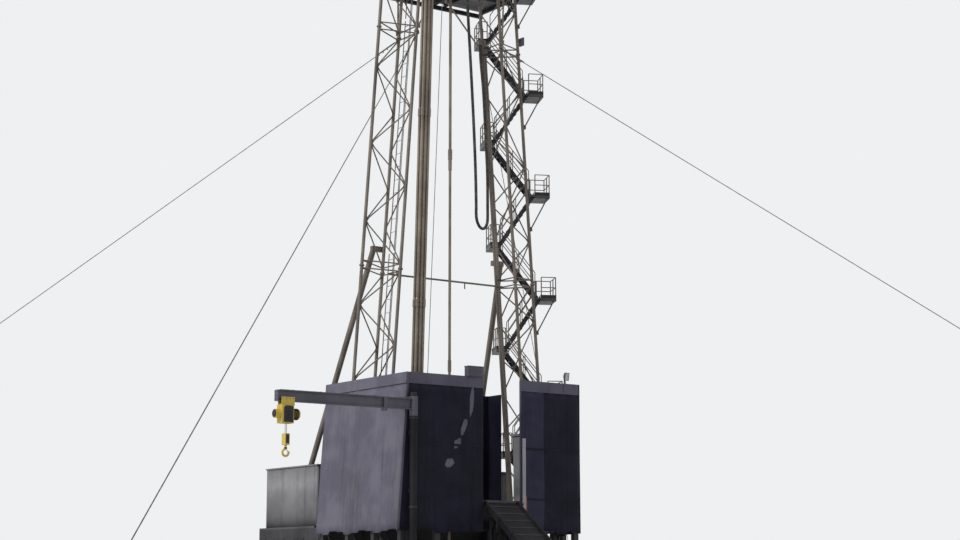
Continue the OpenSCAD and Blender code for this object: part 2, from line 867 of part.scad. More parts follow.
// Middle of the rotary hose, from the swivel down, round its loop and up to the standpipe
hose_route = [[230, -60, 17800], [230, -60, 17650], [246, -66, 17250], [300, -90, 16500], [370, -110, 15300], [420, -125, 14270],
    [500, -130, 13000], [580, -130, 11700], [640, -128, 10500], [664, -123, 9700], [668, -120, 9400],
    [708, -98, 9203], [800, -49, 9121], [930, 15, 9105], [1060, 80, 9121], [1152, 132, 9203],
    [1192, 150, 9400], [1192, 150, 9700], [1185, 150, 10500], [1130, 150, 11500], [1075, 158, 12500],
    [1010, 176, 13250], [1000, 180, 13550], [1000, 180, 13650]];
hose_side = [-0.46, 0.89, 0];
standpipe_x = -70;
standpipe_y = 180;

module rotary_hose() {
    color(dark_steel)
        swept_tube(smooth(hose_route, 3), hose_r, hose_side);
}

// Stands of drill pipe, leaning in the balcony's fingers from a mat on the floor
module pipe_stands() {
    mat_t = 60;
    color(steel) {
        block([-1980, -1180, floor_z], [-1380, -820, floor_z + mat_t]);
        for (i = [-1 : 1], j = [0, 1]) {
            y = -balcony_finger_y(3.5) - (j == 0 ? 0 : finger_pitch);
            difference() {
                bar([-1625 + i * 90, y, floor_z], [-1280 + i * 90, y, 15750], pipe_r);
                block([-2400, y - 100, floor_z - 200], [-1000, y + 100, floor_z + mat_t]);
            }
        }
    }
}

function balcony_finger_y(k) = 560 + k * finger_pitch;

drum_y = 2220;
drum_z = rear_z + 850;
drum_r = 260;
drum_line_r = drum_r + 25;

// Drum between two bearing stands on a skid, with its brake rims
module drawworks() {
    x0 = 250;
    x1 = 1050;
    color(dark_steel) {
        bar([x0 - 120, drum_y, drum_z], [x1 + 120, drum_y, drum_z], 60);
        bar([x0, drum_y, drum_z], [x1, drum_y, drum_z], drum_r);
        bar([x0 + 60, drum_y, drum_z], [x1 - 60, drum_y, drum_z], drum_line_r - line_r - seat);
        for (x = [x0, x1 - 60])
            bar([x, drum_y, drum_z], [x + 60, drum_y, drum_z], 400, 48);
        for (x = [x0 - 110, x1 + 50])
            cross_profile([[drum_y - 360, rear_z + 110], [drum_y + 360, rear_z + 110],
                [drum_y + 110, drum_z + 110], [drum_y - 110, drum_z + 110]], x, x + 60);
        for (y = [drum_y - 420, drum_y + 300])
            block([-900, y, rear_z], [1300, y + beam_w, rear_z + 110]);
        block([-900, drum_y - 420, rear_z + 90], [1300, drum_y + 420, rear_z + 120]);
        block([-850, drum_y - 380, rear_z + 110], [-100, drum_y + 380, rear_z + 900]);
    }
}

// Stand for the controls, seen through the V-door beside the right leg
module control_cabinet() {
    color(wall_grey) {
        block([1350, -1000, floor_z], [1700, -640, floor_z + 1600]);
        block([1320, -1030, floor_z + 1570], [1730, -610, floor_z + 1620]);
    }
}

// Beams across the mast, held at the legs' inner chords, and the two at the edges
module balcony_beams() {
    z0 = beam_top - balcony_beam_h;
    near = leg_w / 2 + chord_r + seat;
    color(dark_steel)
        for (y = [-balcony_front, -near - joist_w, near, balcony_rear - joist_w])
            block([-balcony_x, y, z0], [balcony_x, y + joist_w, beam_top]);
}

module balcony_joists() {
    color(dark_steel)
        difference() {
            both_sides()
                for (x = [balcony_well, balcony_well + 300, balcony_x - joist_w])
                    block([x, -balcony_front, beam_top], [x + joist_w, balcony_rear, joist_top]);
            stair_hole(leg_w / 2 + chord_r + seat);
        }
}

// Opening in the balcony's right edge for the head of the stair
module stair_hole(y1) {
    block([balcony_x - 260, stair_hole_y0, beam_top - 1], [balcony_x + 1, y1, balcony_z + 1]);
}

// Deck plates: a strip round the well, one along each side and a wide one behind the mast
module balcony_deck() {
    leg_clear = leg_w / 2 + chord_r + 64;
    in1 = balcony_well + 300 + joist_w;
    side0 = balcony_x - 160;
    color(deck_grey) {
        block([-balcony_x, 1250, joist_top], [balcony_x, balcony_rear, balcony_z]);
        both_sides()
            block([well_in, leg_clear, joist_top], [balcony_x, 1250 - plate_joint, balcony_z]);
        difference() {
            both_sides()
                block([side0, -balcony_front, joist_top], [balcony_x, leg_clear - plate_joint, balcony_z]);
            stair_hole(leg_clear);
        }
        block([well_in, -balcony_front, joist_top], [in1, leg_clear - plate_joint, balcony_z]);
        // The dead line passes through the left strip
        difference() {
            block([-in1, -balcony_front, joist_top], [-well_in, leg_clear - plate_joint, balcony_z]);
            bar(mix(dead_top, dead_foot, 0.4), mix(dead_top, dead_foot, 0.6), 40);
        }
    }
}

module balcony_rails() {
    x = balcony_x - 20;
    y0 = -balcony_front + 20;
    y1 = balcony_rear - 20;
    z = balcony_z;
    color(steel) {
        guard_rail([-x, y0, z], [-x, y1, z], 6);
        guard_rail([-x, y1, z], [x, y1, z], 7);
        guard_rail([x, leg_w / 2 + 130, z], [x, y1, z], 4);
        guard_rail([x, y0, z], [x, gangway_y0 - 20, z], 4);
        guard_rail([-x, y0, z], [-x + 140, y0, z], 2);
        guard_rail([x, y0, z], [x - 140, y0, z], 2);
        both_sides()
            guard_rail([well_in + 20, y0, z], [well_in + 20, -leg_w / 2, z], 3);
    }
}

// Fingers that part the stands of pipe, between the joists
module pipe_fingers() {
    x0 = balcony_well + 300 + joist_w + seat;
    x1 = balcony_x - joist_w - seat;
    color(steel)
        both_sides()
            for (k = [0 : fingers - 1])
                block([x0, -balcony_finger_y(k) - finger_w / 2, beam_top + 15],
                    [x1, -balcony_finger_y(k) + finger_w / 2, joist_top - 15]);
}

// Ends of flight k in the stair's frame at its foot, as [x, z]
function flight_foot(k) = [k % 2 == 1 ? outer_off : inner_end, floor_z + (k - 1) * flight_rise];
function flight_head(k) = [(k % 2 == 1 ? inner_end : outer_off) - flight_shift, floor_z + k * flight_rise];
function lane_y(k) = (k % 2 == 1 ? lane_2_y0 : stair_y0) - lane_skew;

module stair_treads() {
    t = 14;
    color(deck_grey)
        for (k = [1 : flights])
            at_stair(flight_foot(k)[1])
                for (i = [1 : treads]) {
                    p = mix(flight_foot(k), flight_head(k), i / (treads + 1));
                    block([p[0] - tread_l / 2, lane_y(k), p[1] - t],
                        [p[0] + tread_l / 2, lane_y(k) + flight_w, p[1]]);
                }
}

module stair_stringers() {
    half = stringer_h / 2;
    color(dark_steel)
        for (k = [1 : flights]) {
            p = flight_foot(k);
            q = flight_head(k);
            y = lane_y(k);
            low = k == 1 ? [p, p + [(q[0] - p[0]) * half / flight_rise, 0]] : [p - [0, half]];
            at_stair(p[1])
                for (y0 = [y - stringer_t, y + flight_w])
                    side_profile(concat([p + [0, half]], low, [q - [0, half], q + [0, half]]), y0, y0 + stringer_t);
        }
}

// Rail along one side of a flight, on posts that stand on its treads
module flight_rail(k, y, posts = [1, 5, treads]) {
    p = flight_foot(k);
    q = flight_head(k);
    up = (q[0] > p[0]) ? 1 : -1;
    spots = [for (i = posts) mix(p, q, i / (treads + 1)) - [up * 30, 0]];
    end = spots[len(spots) - 1];
    rise = (q[1] - p[1]) / (q[0] - p[0]) * up * 30;
    for (s = spots)
        block([s[0] - 9, y - 9, s[1]], [s[0] + 9, y + 9, s[1] + rail_h + rise]);
    for (h = [rail_h / 2, rail_h])
        bar([spots[0][0], y, spots[0][1] + h + rise], [end[0], y, end[1] + h + rise], rail_r, 8);
}

module stair_rails() {
    y0 = stair_front + 14;
    y1 = stair_end - 14;
    color(steel) {
        for (k = [1 : flights])
            at_stair(flight_foot(k)[1]) {
                flight_rail(k, lane_y(k) + 12);
                // The last flight passes close under the balcony's beam
                flight_rail(k, lane_y(k) + flight_w - 12, k == flights ? [treads - 2, treads] : [1, 5, treads]);
            }
        for (k = [1 : flights - 1]) {
            z = floor_z + k * flight_rise;
            odd = k % 2 == 1;
            x0 = odd ? 14 - inner_reach : outer_off + 20;
            x1 = odd ? inner_end - 20 : outer_end - 14;
            // The strut takes the place of one landing's rear rail
            by_strut = abs(z + rail_h / 2 - (strut_top_z - 1900)) < rail_h;
            at_stair(z) {
                guard_rail([odd ? x0 : x1, y0, z], [odd ? x0 : x1, by_strut ? y1 - 150 : y1, z], 3);
                guard_rail([x0, y0, z], [x1, y0, z], 2);
                if (!by_strut)
                    guard_rail([x0, y1, z], [x1, y1, z], 2);
            }
        }
        gangway_rails(y0, y1);
    }
}

// Rails round the top landing and along the way to the balcony
module gangway_rails(y0, y1) {
    z = balcony_z;
    x0 = outer_off + 14;
    x1 = outer_end - 14;
    side_x = gangway_x1 - 14;
    at_stair(z) {
        guard_rail([x1, y0, z], [x1, y1, z], 3);
        guard_rail([x0, y1, z], [x1, y1, z], 2);
        guard_rail([x0, lane_2_y0, z], [x0, y1, z], 2);
    }
    guard_rail([side_x, gangway_y0 + 14, z], [side_x, -200, z], 2);
    guard_rail([balcony_x + 20, gangway_y0 + 14, z], [side_x, gangway_y0 + 14, z], 2);
}

gangway_x1 = on_stair(balcony_z, outer_end, stair_front)[0] - 10;

// Landings with the lugs and knee braces that hold them to the leg
module stair_landings() {
    low = balcony_z - landing_t;
    color(deck_grey) {
        for (k = [1 : flights - 1]) {
            z = floor_z + k * flight_rise;
            if (k % 2 == 1) {
                at_stair(z)
                    block([-inner_reach, stair_front, z - landing_t], [inner_end - seat, stair_end, z]);
                s = inner_s(z - landing_t / 2);
                on_leg()
                    block([-30, leg_w / 2 + chord_r + seat, s - 25], [30, leg_w / 2 + stair_front + 45, s + 25]);
            } else {
                outer_landing(z);
                landing_knee(z, z - landing_t / 2, outer_off + 60, stair_front + 16);
            }
        }
        outer_landing(balcony_z);
        translate([0, 0, low])
            linear_extrude(height = landing_t)
                polygon([[balcony_x + seat, gangway_y0], [gangway_x1, gangway_y0], [gangway_x1, -160],
                    [balcony_x + seat, stair_hole_y0 + 30]]);
    }
}

module outer_landing(z) {
    at_stair(z)
        block([outer_off + seat, stair_front, z - landing_t], [outer_end, stair_end, z]);
    landing_knee(z, z - 860, outer_end - 45, stair_front + 30);
}

// Brace from a lug on the leg's outer chord at the height level to a place under an outer landing
module landing_knee(z, level, x, y) {
    lug_x = leg_d + chord_r + seat + 20;
    s = apex_s(level);
    on_leg()
        block([lug_x - 20, -35, s - 50], [lug_x + 20, 35, s + 50]);
    bar([mast_half_gap + lug_x * lean_cos - s * lean_sin, 0, floor_z + s * lean_cos + lug_x * lean_sin],
        on_stair(z - landing_t / 2, x, y) + [inner_x(z) - inner_x(z - landing_t / 2), 0, 0], 16, 12);
}

// Left wall: a leaning slab with studs inside and a cap strip outside
module wall_left() {
    y0 = wall_front_y;
    y1 = floor_y1 + 2 * seat + wall_t;
    t = wall_left_t;
    low = wall_left_x(wall_bottom);
    top = wall_left_x(wall_top);
    cap = wall_left_x(wall_top - cap_h);
    foot = wall_left_x(floor_z);
    stud_pitch = (floor_y1 - floor_y0 - stud_w - 40) / 5;
    color(wall_grey) {
        side_profile([[low, wall_bottom], [low + t, wall_bottom], [top + t, wall_top], [top, wall_top]], y0, y1);
        side_profile([[cap - 30, wall_top - cap_h], [cap + 5, wall_top - cap_h], [top + 5, wall_top],
            [top - 30, wall_top]], y0, y1);
        for (i = [0 : 5])
            side_profile([[floor_x0, floor_z], [foot + t + stud_w, floor_z], [top + t + stud_w, wall_top],
                [top + t - 5, wall_top], [foot + t - 5, floor_z + 5], [floor_x0, floor_z + 5]],
                floor_y0 + 20 + i * stud_pitch, floor_y0 + 20 + i * stud_pitch + stud_w);
    }
}

// A front panel with studs on its inner side and a cap strip outside
module front_panel(x0, x1, slant) {
    edge_low = slant ? wall_left_x(wall_bottom) + wall_left_t + seat : x0;
    edge_top = slant ? wall_left_x(wall_top) + wall_left_t + seat : x0;
    side_profile([[edge_low, wall_bottom], [x1, wall_bottom], [x1, wall_top], [edge_top, wall_top]],
        wall_front_y, wall_front_in);
    cap_x0 = slant ? x0 : x0 + 2;
    block([cap_x0, wall_front_y - 12, wall_top - cap_h], [x1 - 2, wall_front_in - 5, wall_top]);
    for (x = [x0 + (slant ? 120 : 20), (x0 + x1) / 2, x1 - stud_w - 20])
        block([x, wall_front_in - 5, floor_z], [x + stud_w, wall_front_in + stud_w, wall_top]);
}

module wall_front_left() {
    color(wall_grey)
        front_panel(wall_left_x(wall_top) + wall_left_t + seat, v_door_x0, true);
}

module wall_front_right() {
    color(wall_grey)
        front_panel(v_door_x1, wall_right_x - seat, false);
}

module wall_right() {
    color(wall_grey) {
        block([wall_right_x, wall_front_y, wall_bottom], [wall_right_x + wall_t, -560, wall_top]);
        for (y = [floor_y0 + 300, -1500, -560 - stud_w])
            block([wall_right_x - stud_w, y, floor_z], [wall_right_x + 5, y + stud_w, wall_top]);
    }
}

// Rear wall behind the floor, and its return beside the stair
module wall_rear() {
    y0 = floor_y1 + seat;
    x1 = floor_x1 - 90;
    low = wall_left_x(rear_z) + wall_left_t + seat;
    top = wall_left_x(wall_top) + wall_left_t + seat;
    color(wall_grey) {
        side_profile([[low, rear_z], [x1, rear_z], [x1, wall_top], [top, wall_top]], y0, y0 + wall_t);
        block([x1 - wall_t, return_y0, floor_z], [x1, y0 + 5, wall_top]);
        for (x = [-1900, -950, 0, 950])
            block([x, y0 - stud_w, floor_z], [x + stud_w, y0 + 5, wall_top]);
    }
}

// Cabinet on top of the front wall beside the V-door
module wall_box() {
    color(steel)
        block([v_door_x0 - 425, wall_front_y - 60, wall_top], [v_door_x0 - 25, wall_front_in + 60, wall_top + 220]);
}

module shed_walls() {
    color(shed_grey)
        difference() {
            block([shed_x0, shed_y0, rear_z], [shed_x1, shed_y1, shed_top]);
            block([shed_x0 + shed_t, shed_y0 + shed_t, rear_z - 10], [shed_x1 - shed_t, shed_y1 - shed_t, shed_top + 10]);
        }
}

// Place of a strut's axis at height z
function strut_at(z) = let (t = (strut_top_z - z) / (strut_top_z - rear_z - 25))
    [mix(strut_top_x, strut_foot_x, t), mix(strut_top_y, strut_foot_y, t)];

// Roof with openings for the two struts and for the fast line
module shed_roof() {
    at = strut_at(shed_top + shed_t / 2);
    t = (sheave_z - shed_top) / (sheave_z - drum_z);
    line = [mix(fast_x, drum_line_x, t), mix(crown_sheave_r, drum_y - drum_line_r, t)];
    color(shed_grey)
        difference() {
            block([shed_x0 - shed_t, shed_y0 - shed_t, shed_top], [shed_x1 + shed_t, shed_y1 + shed_t, shed_top + shed_t]);
            for (x = [-at[0], at[0]])
                translate([x, at[1], shed_top])
                    cube([2 * strut_r + 50, 2 * strut_r + 90, 200], center = true);
            translate([line[0], line[1], shed_top])
                cube([160, 140, 200], center = true);
        }
}

// Sloping pipe slide from the V-door to the ground
module v_door_ramp() {
    run = 3470;
    y0 = floor_y0 - seat;
    color(deck_grey) {
        cross_profile([[y0, floor_z - 60], [y0 - run, 40], [y0 - run, 0], [y0 - run + 130, 0], [y0, floor_z - 160]],
            v_door_x0 + 60, v_door_x1 - 60);
        for (x = [v_door_x0 + 60, v_door_x1 - 60 - 50])
            cross_profile([[y0, floor_z], [y0 - run, 110], [y0 - run, 0], [y0, floor_z - 160]], x, x + 50);
    }
}

// Crane post from the ground, with its pin and the brackets to the front wall
module jib_post() {
    pin_top = jib_z + jib_h / 2 + 150;
    color(steel) {
        bar([-jib_x, -jib_y, 0], [-jib_x, -jib_y, jib_shoulder_z], jib_post_r);
        bar([-jib_x, -jib_y, jib_shoulder_z - 10], [-jib_x, -jib_y, pin_top], jib_pin_r);
        bar([-jib_x, -jib_y, 0], [-jib_x, -jib_y, 30], jib_post_r + 90);
        for (z = [wall_bottom + 750, jib_shoulder_z - 400])
            block([-jib_x - 50, -jib_y, z], [-jib_x + 50, wall_front_y - seat, z + 90]);
    }
}

// Boom with a bored hub: an I beam with an end stop and a clamp for the cable
module jib_boom() {
    x = -jib_x;
    y = -jib_y;
    z0 = jib_z - jib_h / 2;
    z1 = jib_z + jib_h / 2;
    web = 10;
    flange = 14;
    color(steel)
        difference() {
            union() {
                bar([x, y, jib_shoulder_z + seat], [x, y, z1 + 60], jib_pin_r + 45);
                block([x - jib_l, y - jib_w / 2, z0], [x, y + jib_w / 2, z0 + flange]);
                block([x - jib_l, y - jib_w / 2, z1 - flange], [x, y + jib_w / 2, z1]);
                block([x - jib_l, y - web / 2, z0], [x, y + web / 2, z1]);
                block([x - jib_l, y - jib_w / 2 - 12, z0], [x - jib_l + 14, y + jib_w / 2 + 12, z1]);
                block([x - 770, y - jib_w / 2 - 10, z0 - 60], [x - 700, y + jib_w / 2 + 10, z1 + 10]);
            }
            bar([x, y, jib_shoulder_z - 20], [x, y, z1 + 100], jib_pin_r + jib_gap);
        }
}

// Hoist body hung from the boom's lower flange
module hoist_trolley() {
    x = -jib_x - hoist_off;
    y = -jib_y;
    z0 = jib_z - jib_h / 2;
    wheel_z = z0 + 14 + seat + 28;
    color(hoist_yellow) {
        for (side = [-1, 1]) {
            block([x - 150, y + side * (jib_w / 2 + 12) - 7, z0 - 60], [x + 150, y + side * (jib_w / 2 + 12) + 7, z0 + 90]);
            for (dx = [-90, 90])
                bar([x + dx, y + side * (jib_w / 2 - 26), wheel_z], [x + dx, y + side * (jib_w / 2 + 8), wheel_z], 28);
        }
        block([x - 150, y - jib_w / 2 - 19, z0 - 80], [x + 150, y + jib_w / 2 + 19, z0 - 50]);
        block([x - 150, y - 110, z0 - 440], [x + 120, y + 110, z0 - 70]);
        bar([x + 100, y, z0 - 250], [x + 270, y, z0 - 250], 105, 32);
        bar([x - 270, y, z0 - 250], [x - 140, y, z0 - 250], 90, 32);
    }
}

module hoist_rope() {
    x = -jib_x - hoist_off;
    color(rope_grey)
        for (side = [-1, 1])
            bar([x, -jib_y + side * 30, hook_top_z], [x, -jib_y + side * 30, jib_z - jib_h / 2 - 440 - seat], 6, 12);
}

// Pulley housing with the lifting hook below it
module hoist_hook() {
    x = -jib_x - hoist_off;
    y = -jib_y;
    z = hook_top_z;
    color(hoist_yellow) {
        block([x - 50, y - 75, z - 230], [x + 50, y + 75, z - seat]);
        bar([x, y, z - 300], [x, y, z - 200], 24);
    }
    color(steel)
        translate([x, y, z - 380])
            rotate([90, -90, 0])
                rotate_extrude(angle = 290, $fn = 48)
                    translate([70, 0])
                        circle(r = 22, $fn = 20);
}

// Four guy wires, from the flanges under the balcony to the ground
module guy_wires() {
    color(rope_grey)
        both_sides()
            for (side = [-1, 1])
                guy(side);
}

// One guy, from its lug on the leg's chord to the socket on its anchor
module guy(side) {
    x1 = guy_x + guy_reach;
    y1 = guy_y + guy_reach;
    bar([guy_x, side * guy_y, guy_z], [x1, side * y1, anchor_h + 30], guy_r, 12);
    translate([guy_x, side * (leg_w / 2 + chord_r + seat + 20), guy_z])
        cube([60, 40, 60], center = true);
    translate([x1, side * y1, anchor_h + 30])
        cube([70, 70, 60], center = true);
}

anchor_h = 110;
guy_z = floor_z + (foot_section_l + section_l) * lean_cos - 60;
guy_x = inner_x(guy_z);
guy_y = leg_w / 2 + chord_r + 20;

module guy_anchors() {
    x = guy_x + guy_reach;
    y = guy_y + guy_reach;
    color(dark_steel)
        both_sides()
            for (side = [-1, 1])
                translate([x, side * y, anchor_h / 2])
                    cube([240, 240, anchor_h], center = true);
}

module floodlights() {
    color(steel) {
        block([1440, wall_front_y - 12 - seat - 120, wall_top - 200], [1560, wall_front_y - 12 - seat, wall_top + 250]);
        on_leg()
            translate([leg_d + chord_r + seat + 60, 0, apex_s(13850)])
                cube([120, 160, 200], center = true);
    }
}

substructure();
rear_base();
base_ties();
drill_floor();
rotary_table();
mast_shoes();
left_leg_lower();
left_leg_upper();
right_leg_lower();
right_leg_upper();
rear_struts();
mast_ties();
leg_ladder();
crown_frame();
crown_block();
crown_sheaves();
crown_rails();
crown_gantry();
drilling_lines();
fast_and_dead_line();
travelling_block();
hook();
swivel();
kelly();
drill_pipe();
standpipe();
rotary_hose();
pipe_stands();
drawworks();
control_cabinet();
balcony_beams();
balcony_joists();
balcony_deck();
balcony_rails();
pipe_fingers();
stair_treads();
stair_stringers();
stair_landings();
stair_rails();
wall_left();
wall_front_left();
wall_front_right();
wall_right();
wall_rear();
wall_box();
shed_walls();
shed_roof();
v_door_ramp();
jib_post();
jib_boom();
hoist_trolley();
hoist_rope();
hoist_hook();
guy_wires();
guy_anchors();
floodlights();
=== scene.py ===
# Looks of the two-legged drilling rig: finishes for every solid, and the detail that the solids leave out.
# Metres throughout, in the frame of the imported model: +Z up, the V-door faces -Y, the well is at the origin.
import json
import math
import random
import bpy
import bmesh
from mathutils import Matrix, Vector

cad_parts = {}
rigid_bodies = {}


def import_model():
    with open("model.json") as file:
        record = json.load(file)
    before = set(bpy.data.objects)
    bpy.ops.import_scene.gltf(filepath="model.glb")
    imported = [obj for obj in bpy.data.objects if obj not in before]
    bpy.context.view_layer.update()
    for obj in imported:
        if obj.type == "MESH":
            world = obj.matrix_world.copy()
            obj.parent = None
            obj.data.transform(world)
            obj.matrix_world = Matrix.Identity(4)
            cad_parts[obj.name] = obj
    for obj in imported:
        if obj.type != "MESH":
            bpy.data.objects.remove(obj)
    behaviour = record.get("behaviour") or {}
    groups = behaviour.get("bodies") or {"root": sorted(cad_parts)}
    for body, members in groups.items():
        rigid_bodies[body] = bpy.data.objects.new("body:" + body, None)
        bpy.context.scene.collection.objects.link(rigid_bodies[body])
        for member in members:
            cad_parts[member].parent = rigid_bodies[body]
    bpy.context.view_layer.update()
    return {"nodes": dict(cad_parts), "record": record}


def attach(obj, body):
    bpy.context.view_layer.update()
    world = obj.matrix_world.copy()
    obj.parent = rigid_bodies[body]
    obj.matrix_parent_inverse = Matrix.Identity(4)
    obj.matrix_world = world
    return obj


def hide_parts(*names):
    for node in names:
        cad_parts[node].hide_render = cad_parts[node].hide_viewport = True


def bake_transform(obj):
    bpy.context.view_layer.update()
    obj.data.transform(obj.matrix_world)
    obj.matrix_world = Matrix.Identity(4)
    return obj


for leftover in list(bpy.data.objects):
    bpy.data.objects.remove(leftover)
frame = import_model()
scene = bpy.context.scene
scene.view_settings.view_transform = "Standard"
print("frame loaded")

# The photograph's camera, from a fit to the mast's flanges and the stair's landings
shot = {
    "place": (-24.06, -35.07, 0.81),
    "yaw": 35.4,
    "pitch": 9.62,
    "focalPixels": 1854,
    "imageWidth": 960,
    "sensor": 36,
    "reach": 2000,
}


def makeCamera():
    data = bpy.data.cameras.new("camera")
    data.sensor_width = shot["sensor"]
    data.lens = shot["focalPixels"] * shot["sensor"] / shot["imageWidth"]
    data.clip_end = shot["reach"]
    camera = bpy.data.objects.new("camera", data)
    camera.location = shot["place"]
    camera.rotation_euler = (math.radians(90 + shot["pitch"]), 0, math.radians(-shot["yaw"]))
    scene.collection.objects.link(camera)
    scene.camera = camera


makeCamera()

# Sizes that the solids were made with
rig = {
    "halfGap": 1.985, "lean": 4.06, "legWidth": 0.755, "legDepth": 0.79, "chord": 0.038,
    "joints": (5.25, 10.91, 16.57), "legTop": 22.23, "bays": 6, "flange": 0.058, "flangeThick": 0.016,
    "floorZ": 2.6, "balconyZ": 15.1, "rise": 1.25, "flights": 10, "gap": 0.0006,
    "sheavePitch": 0.075, "crownRadius": 0.275, "blockRadius": 0.25, "blockZ": 20.0, "sheaveZ": 25.2492,
    "fastX": 0.39, "line": 0.008, "wallTop": 5.25, "wallBottom": 1.95, "wallLeft": -2.685, "wallFlare": 0.235,
    "capHeight": 0.24, "frontY": -2.3603, "rearWallY": 0.9703, "rightX": 1.9303, "vDoor": (-0.735, 0.295),
    "shedLow": (-2.7, 1.325, 2.1), "shedHigh": (2.7, 3.65, 3.46),
}
leanSin = math.sin(math.radians(rig["lean"]))
leanCos = math.cos(math.radians(rig["lean"]))
leanTan = leanSin / leanCos
right, back, up = Vector((1, 0, 0)), Vector((0, 1, 0)), Vector((0, 0, 1))


def innerX(z):
    return rig["halfGap"] - (z - rig["floorZ"]) * leanTan


def onLeg(side, x, y, s):
    # A place in a leg's own frame: x out from its inner face, s up along its lean
    return Vector((side * (rig["halfGap"] + x * leanCos - s * leanSin), y,
                   rig["floorZ"] + s * leanCos + x * leanSin))


def wallLeftX(z):
    return rig["wallLeft"] - rig["wallFlare"] * (rig["wallTop"] - z) / (rig["wallTop"] - rig["wallBottom"])


def between(a, b, share):
    return a + (b - a) * share


def circle(middle, radius, count, u=right, v=back, turn=0.0):
    # Places round a circle, from u towards v
    angles = [turn + 2 * math.pi * k / count for k in range(count)]
    return [Vector(middle) + radius * (u * math.cos(a) + v * math.sin(a)) for a in angles]


def grid(xs, ys, zs):
    return [Vector((x, y, z)) for x in xs for y in ys for z in zs]


def frameAt(place, xAxis=right, yAxis=up):
    # The matrix of a plane through a place, with its own x and y directions
    x = Vector(xAxis).normalized()
    z = x.cross(Vector(yAxis)).normalized()
    return Matrix.Translation(Vector(place)) @ Matrix((x, z.cross(x), z)).transposed().to_4x4()


# Directions that no rod and no rope runs along, to square their rings by
rodSkew = Vector((0.13, 0.21, 0.97))
ropeSkew = Vector((0.97, 0.21, 0.13))


class Shape:
    # Corners and faces collected from simple forms, then made into one piece
    def __init__(self):
        self.corners, self.faces, self.soft = [], [], []

    def add(self, corners, faces, soft=False):
        start = len(self.corners)
        self.corners += [tuple(c) for c in corners]
        self.faces += [[start + i for i in face] for face in faces]
        self.soft += [soft] * len(faces)

    def box(self, low, high, place=Matrix()):
        self.add([place @ corner for corner in grid(*zip(low, high))],
                 [(0, 1, 3, 2), (4, 6, 7, 5), (0, 4, 5, 1), (2, 3, 7, 6), (0, 2, 6, 4), (1, 5, 7, 3)])

    def ring(self, middle, along, radius, sides):
        side = along.cross(rodSkew).normalized()
        return circle(middle, radius, sides, side, along.cross(side))

    def loft(self, rings, soft=True):
        # Skins a row of rings that all have as many corners, and closes both ends
        sides = len(rings[0])
        faces = []
        for low in range(0, (len(rings) - 1) * sides, sides):
            for k in range(sides):
                n = (k + 1) % sides
                faces.append((low + k, low + n, low + sides + n, low + sides + k))
        self.add([p for ring in rings for p in ring], faces, soft)
        self.add(rings[0], [tuple(reversed(range(sides)))])
        self.add(rings[-1], [tuple(range(sides))])

    def rod(self, start, end, radius, sides=8):
        start, end = Vector(start), Vector(end)
        along = (end - start).normalized()
        self.loft([self.ring(spot, along, radius, sides) for spot in (start, end)])

    def turned(self, foot, along, profile, sides=24):
        # Rings of (distance along, radius), such as a flange or a drum
        foot, along = Vector(foot), Vector(along).normalized()
        self.loft([self.ring(foot + along * d, along, max(r, 1e-4), sides) for d, r in profile], False)

    def band(self, foot, along, radius, lip, high, sides=24, bevel=0.002):
        # A raised collar round a bar
        self.turned(foot, along, [(0, radius), (bevel, radius + lip), (high - bevel, radius + lip),
                                  (high, radius)], sides)

    def tube(self, path, radius, sides=8):
        # One cross direction is carried along the path, so the tube doesn't twist
        rings, side = [], None
        for i, p in enumerate(path):
            along = (path[min(i + 1, len(path) - 1)] - path[max(i - 1, 0)]).normalized()
            side = along.cross(rodSkew).normalized() if side is None else side
            side = (side - along * side.dot(along)).normalized()
            rings.append(circle(p, radius, sides, side, along.cross(side)))
        self.loft(rings)

    def plate(self, outline, thick, place):
        # An outline in a plane of its own, given thickness and put in place
        count = len(outline)
        corners = [place @ Vector((x, y, z)) for z in (-thick / 2, thick / 2) for x, y in outline]
        sides = [(k, (k + 1) % count, count + (k + 1) % count, count + k) for k in range(count)]
        self.add(corners, [tuple(reversed(range(count))), tuple(range(count, 2 * count))] + sides)

    def bolts(self, spots, along, size):
        # Hexagon heads on their washers; low, high and wide are in shares of the head's size
        along = Vector(along).normalized()
        for spot in spots:
            for low, high, wide, sides in ((0, 0.2, 1.25, 10), (0.2, 0.85, 1, 6)):
                self.loft([self.ring(Vector(spot) + along * size * d, along, size * wide, sides)
                           for d in (low, high)], False)

    def piece(self, name, finish, body="root"):
        mesh = bpy.data.meshes.new(name)
        mesh.from_pydata(self.corners, [], self.faces)
        form = bmesh.new()
        form.from_mesh(mesh)
        bmesh.ops.remove_doubles(form, verts=form.verts, dist=1e-6)
        bmesh.ops.recalc_face_normals(form, faces=form.faces)
        form.to_mesh(mesh)
        form.free()
        if any(self.soft):
            mesh.shade_smooth()
            mesh.set_sharp_from_angle(angle=math.radians(35))
        mesh.materials.append(finishes[finish])
        made = bpy.data.objects.new(name, mesh)
        scene.collection.objects.link(made)
        if body:
            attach(made, body)
        return made


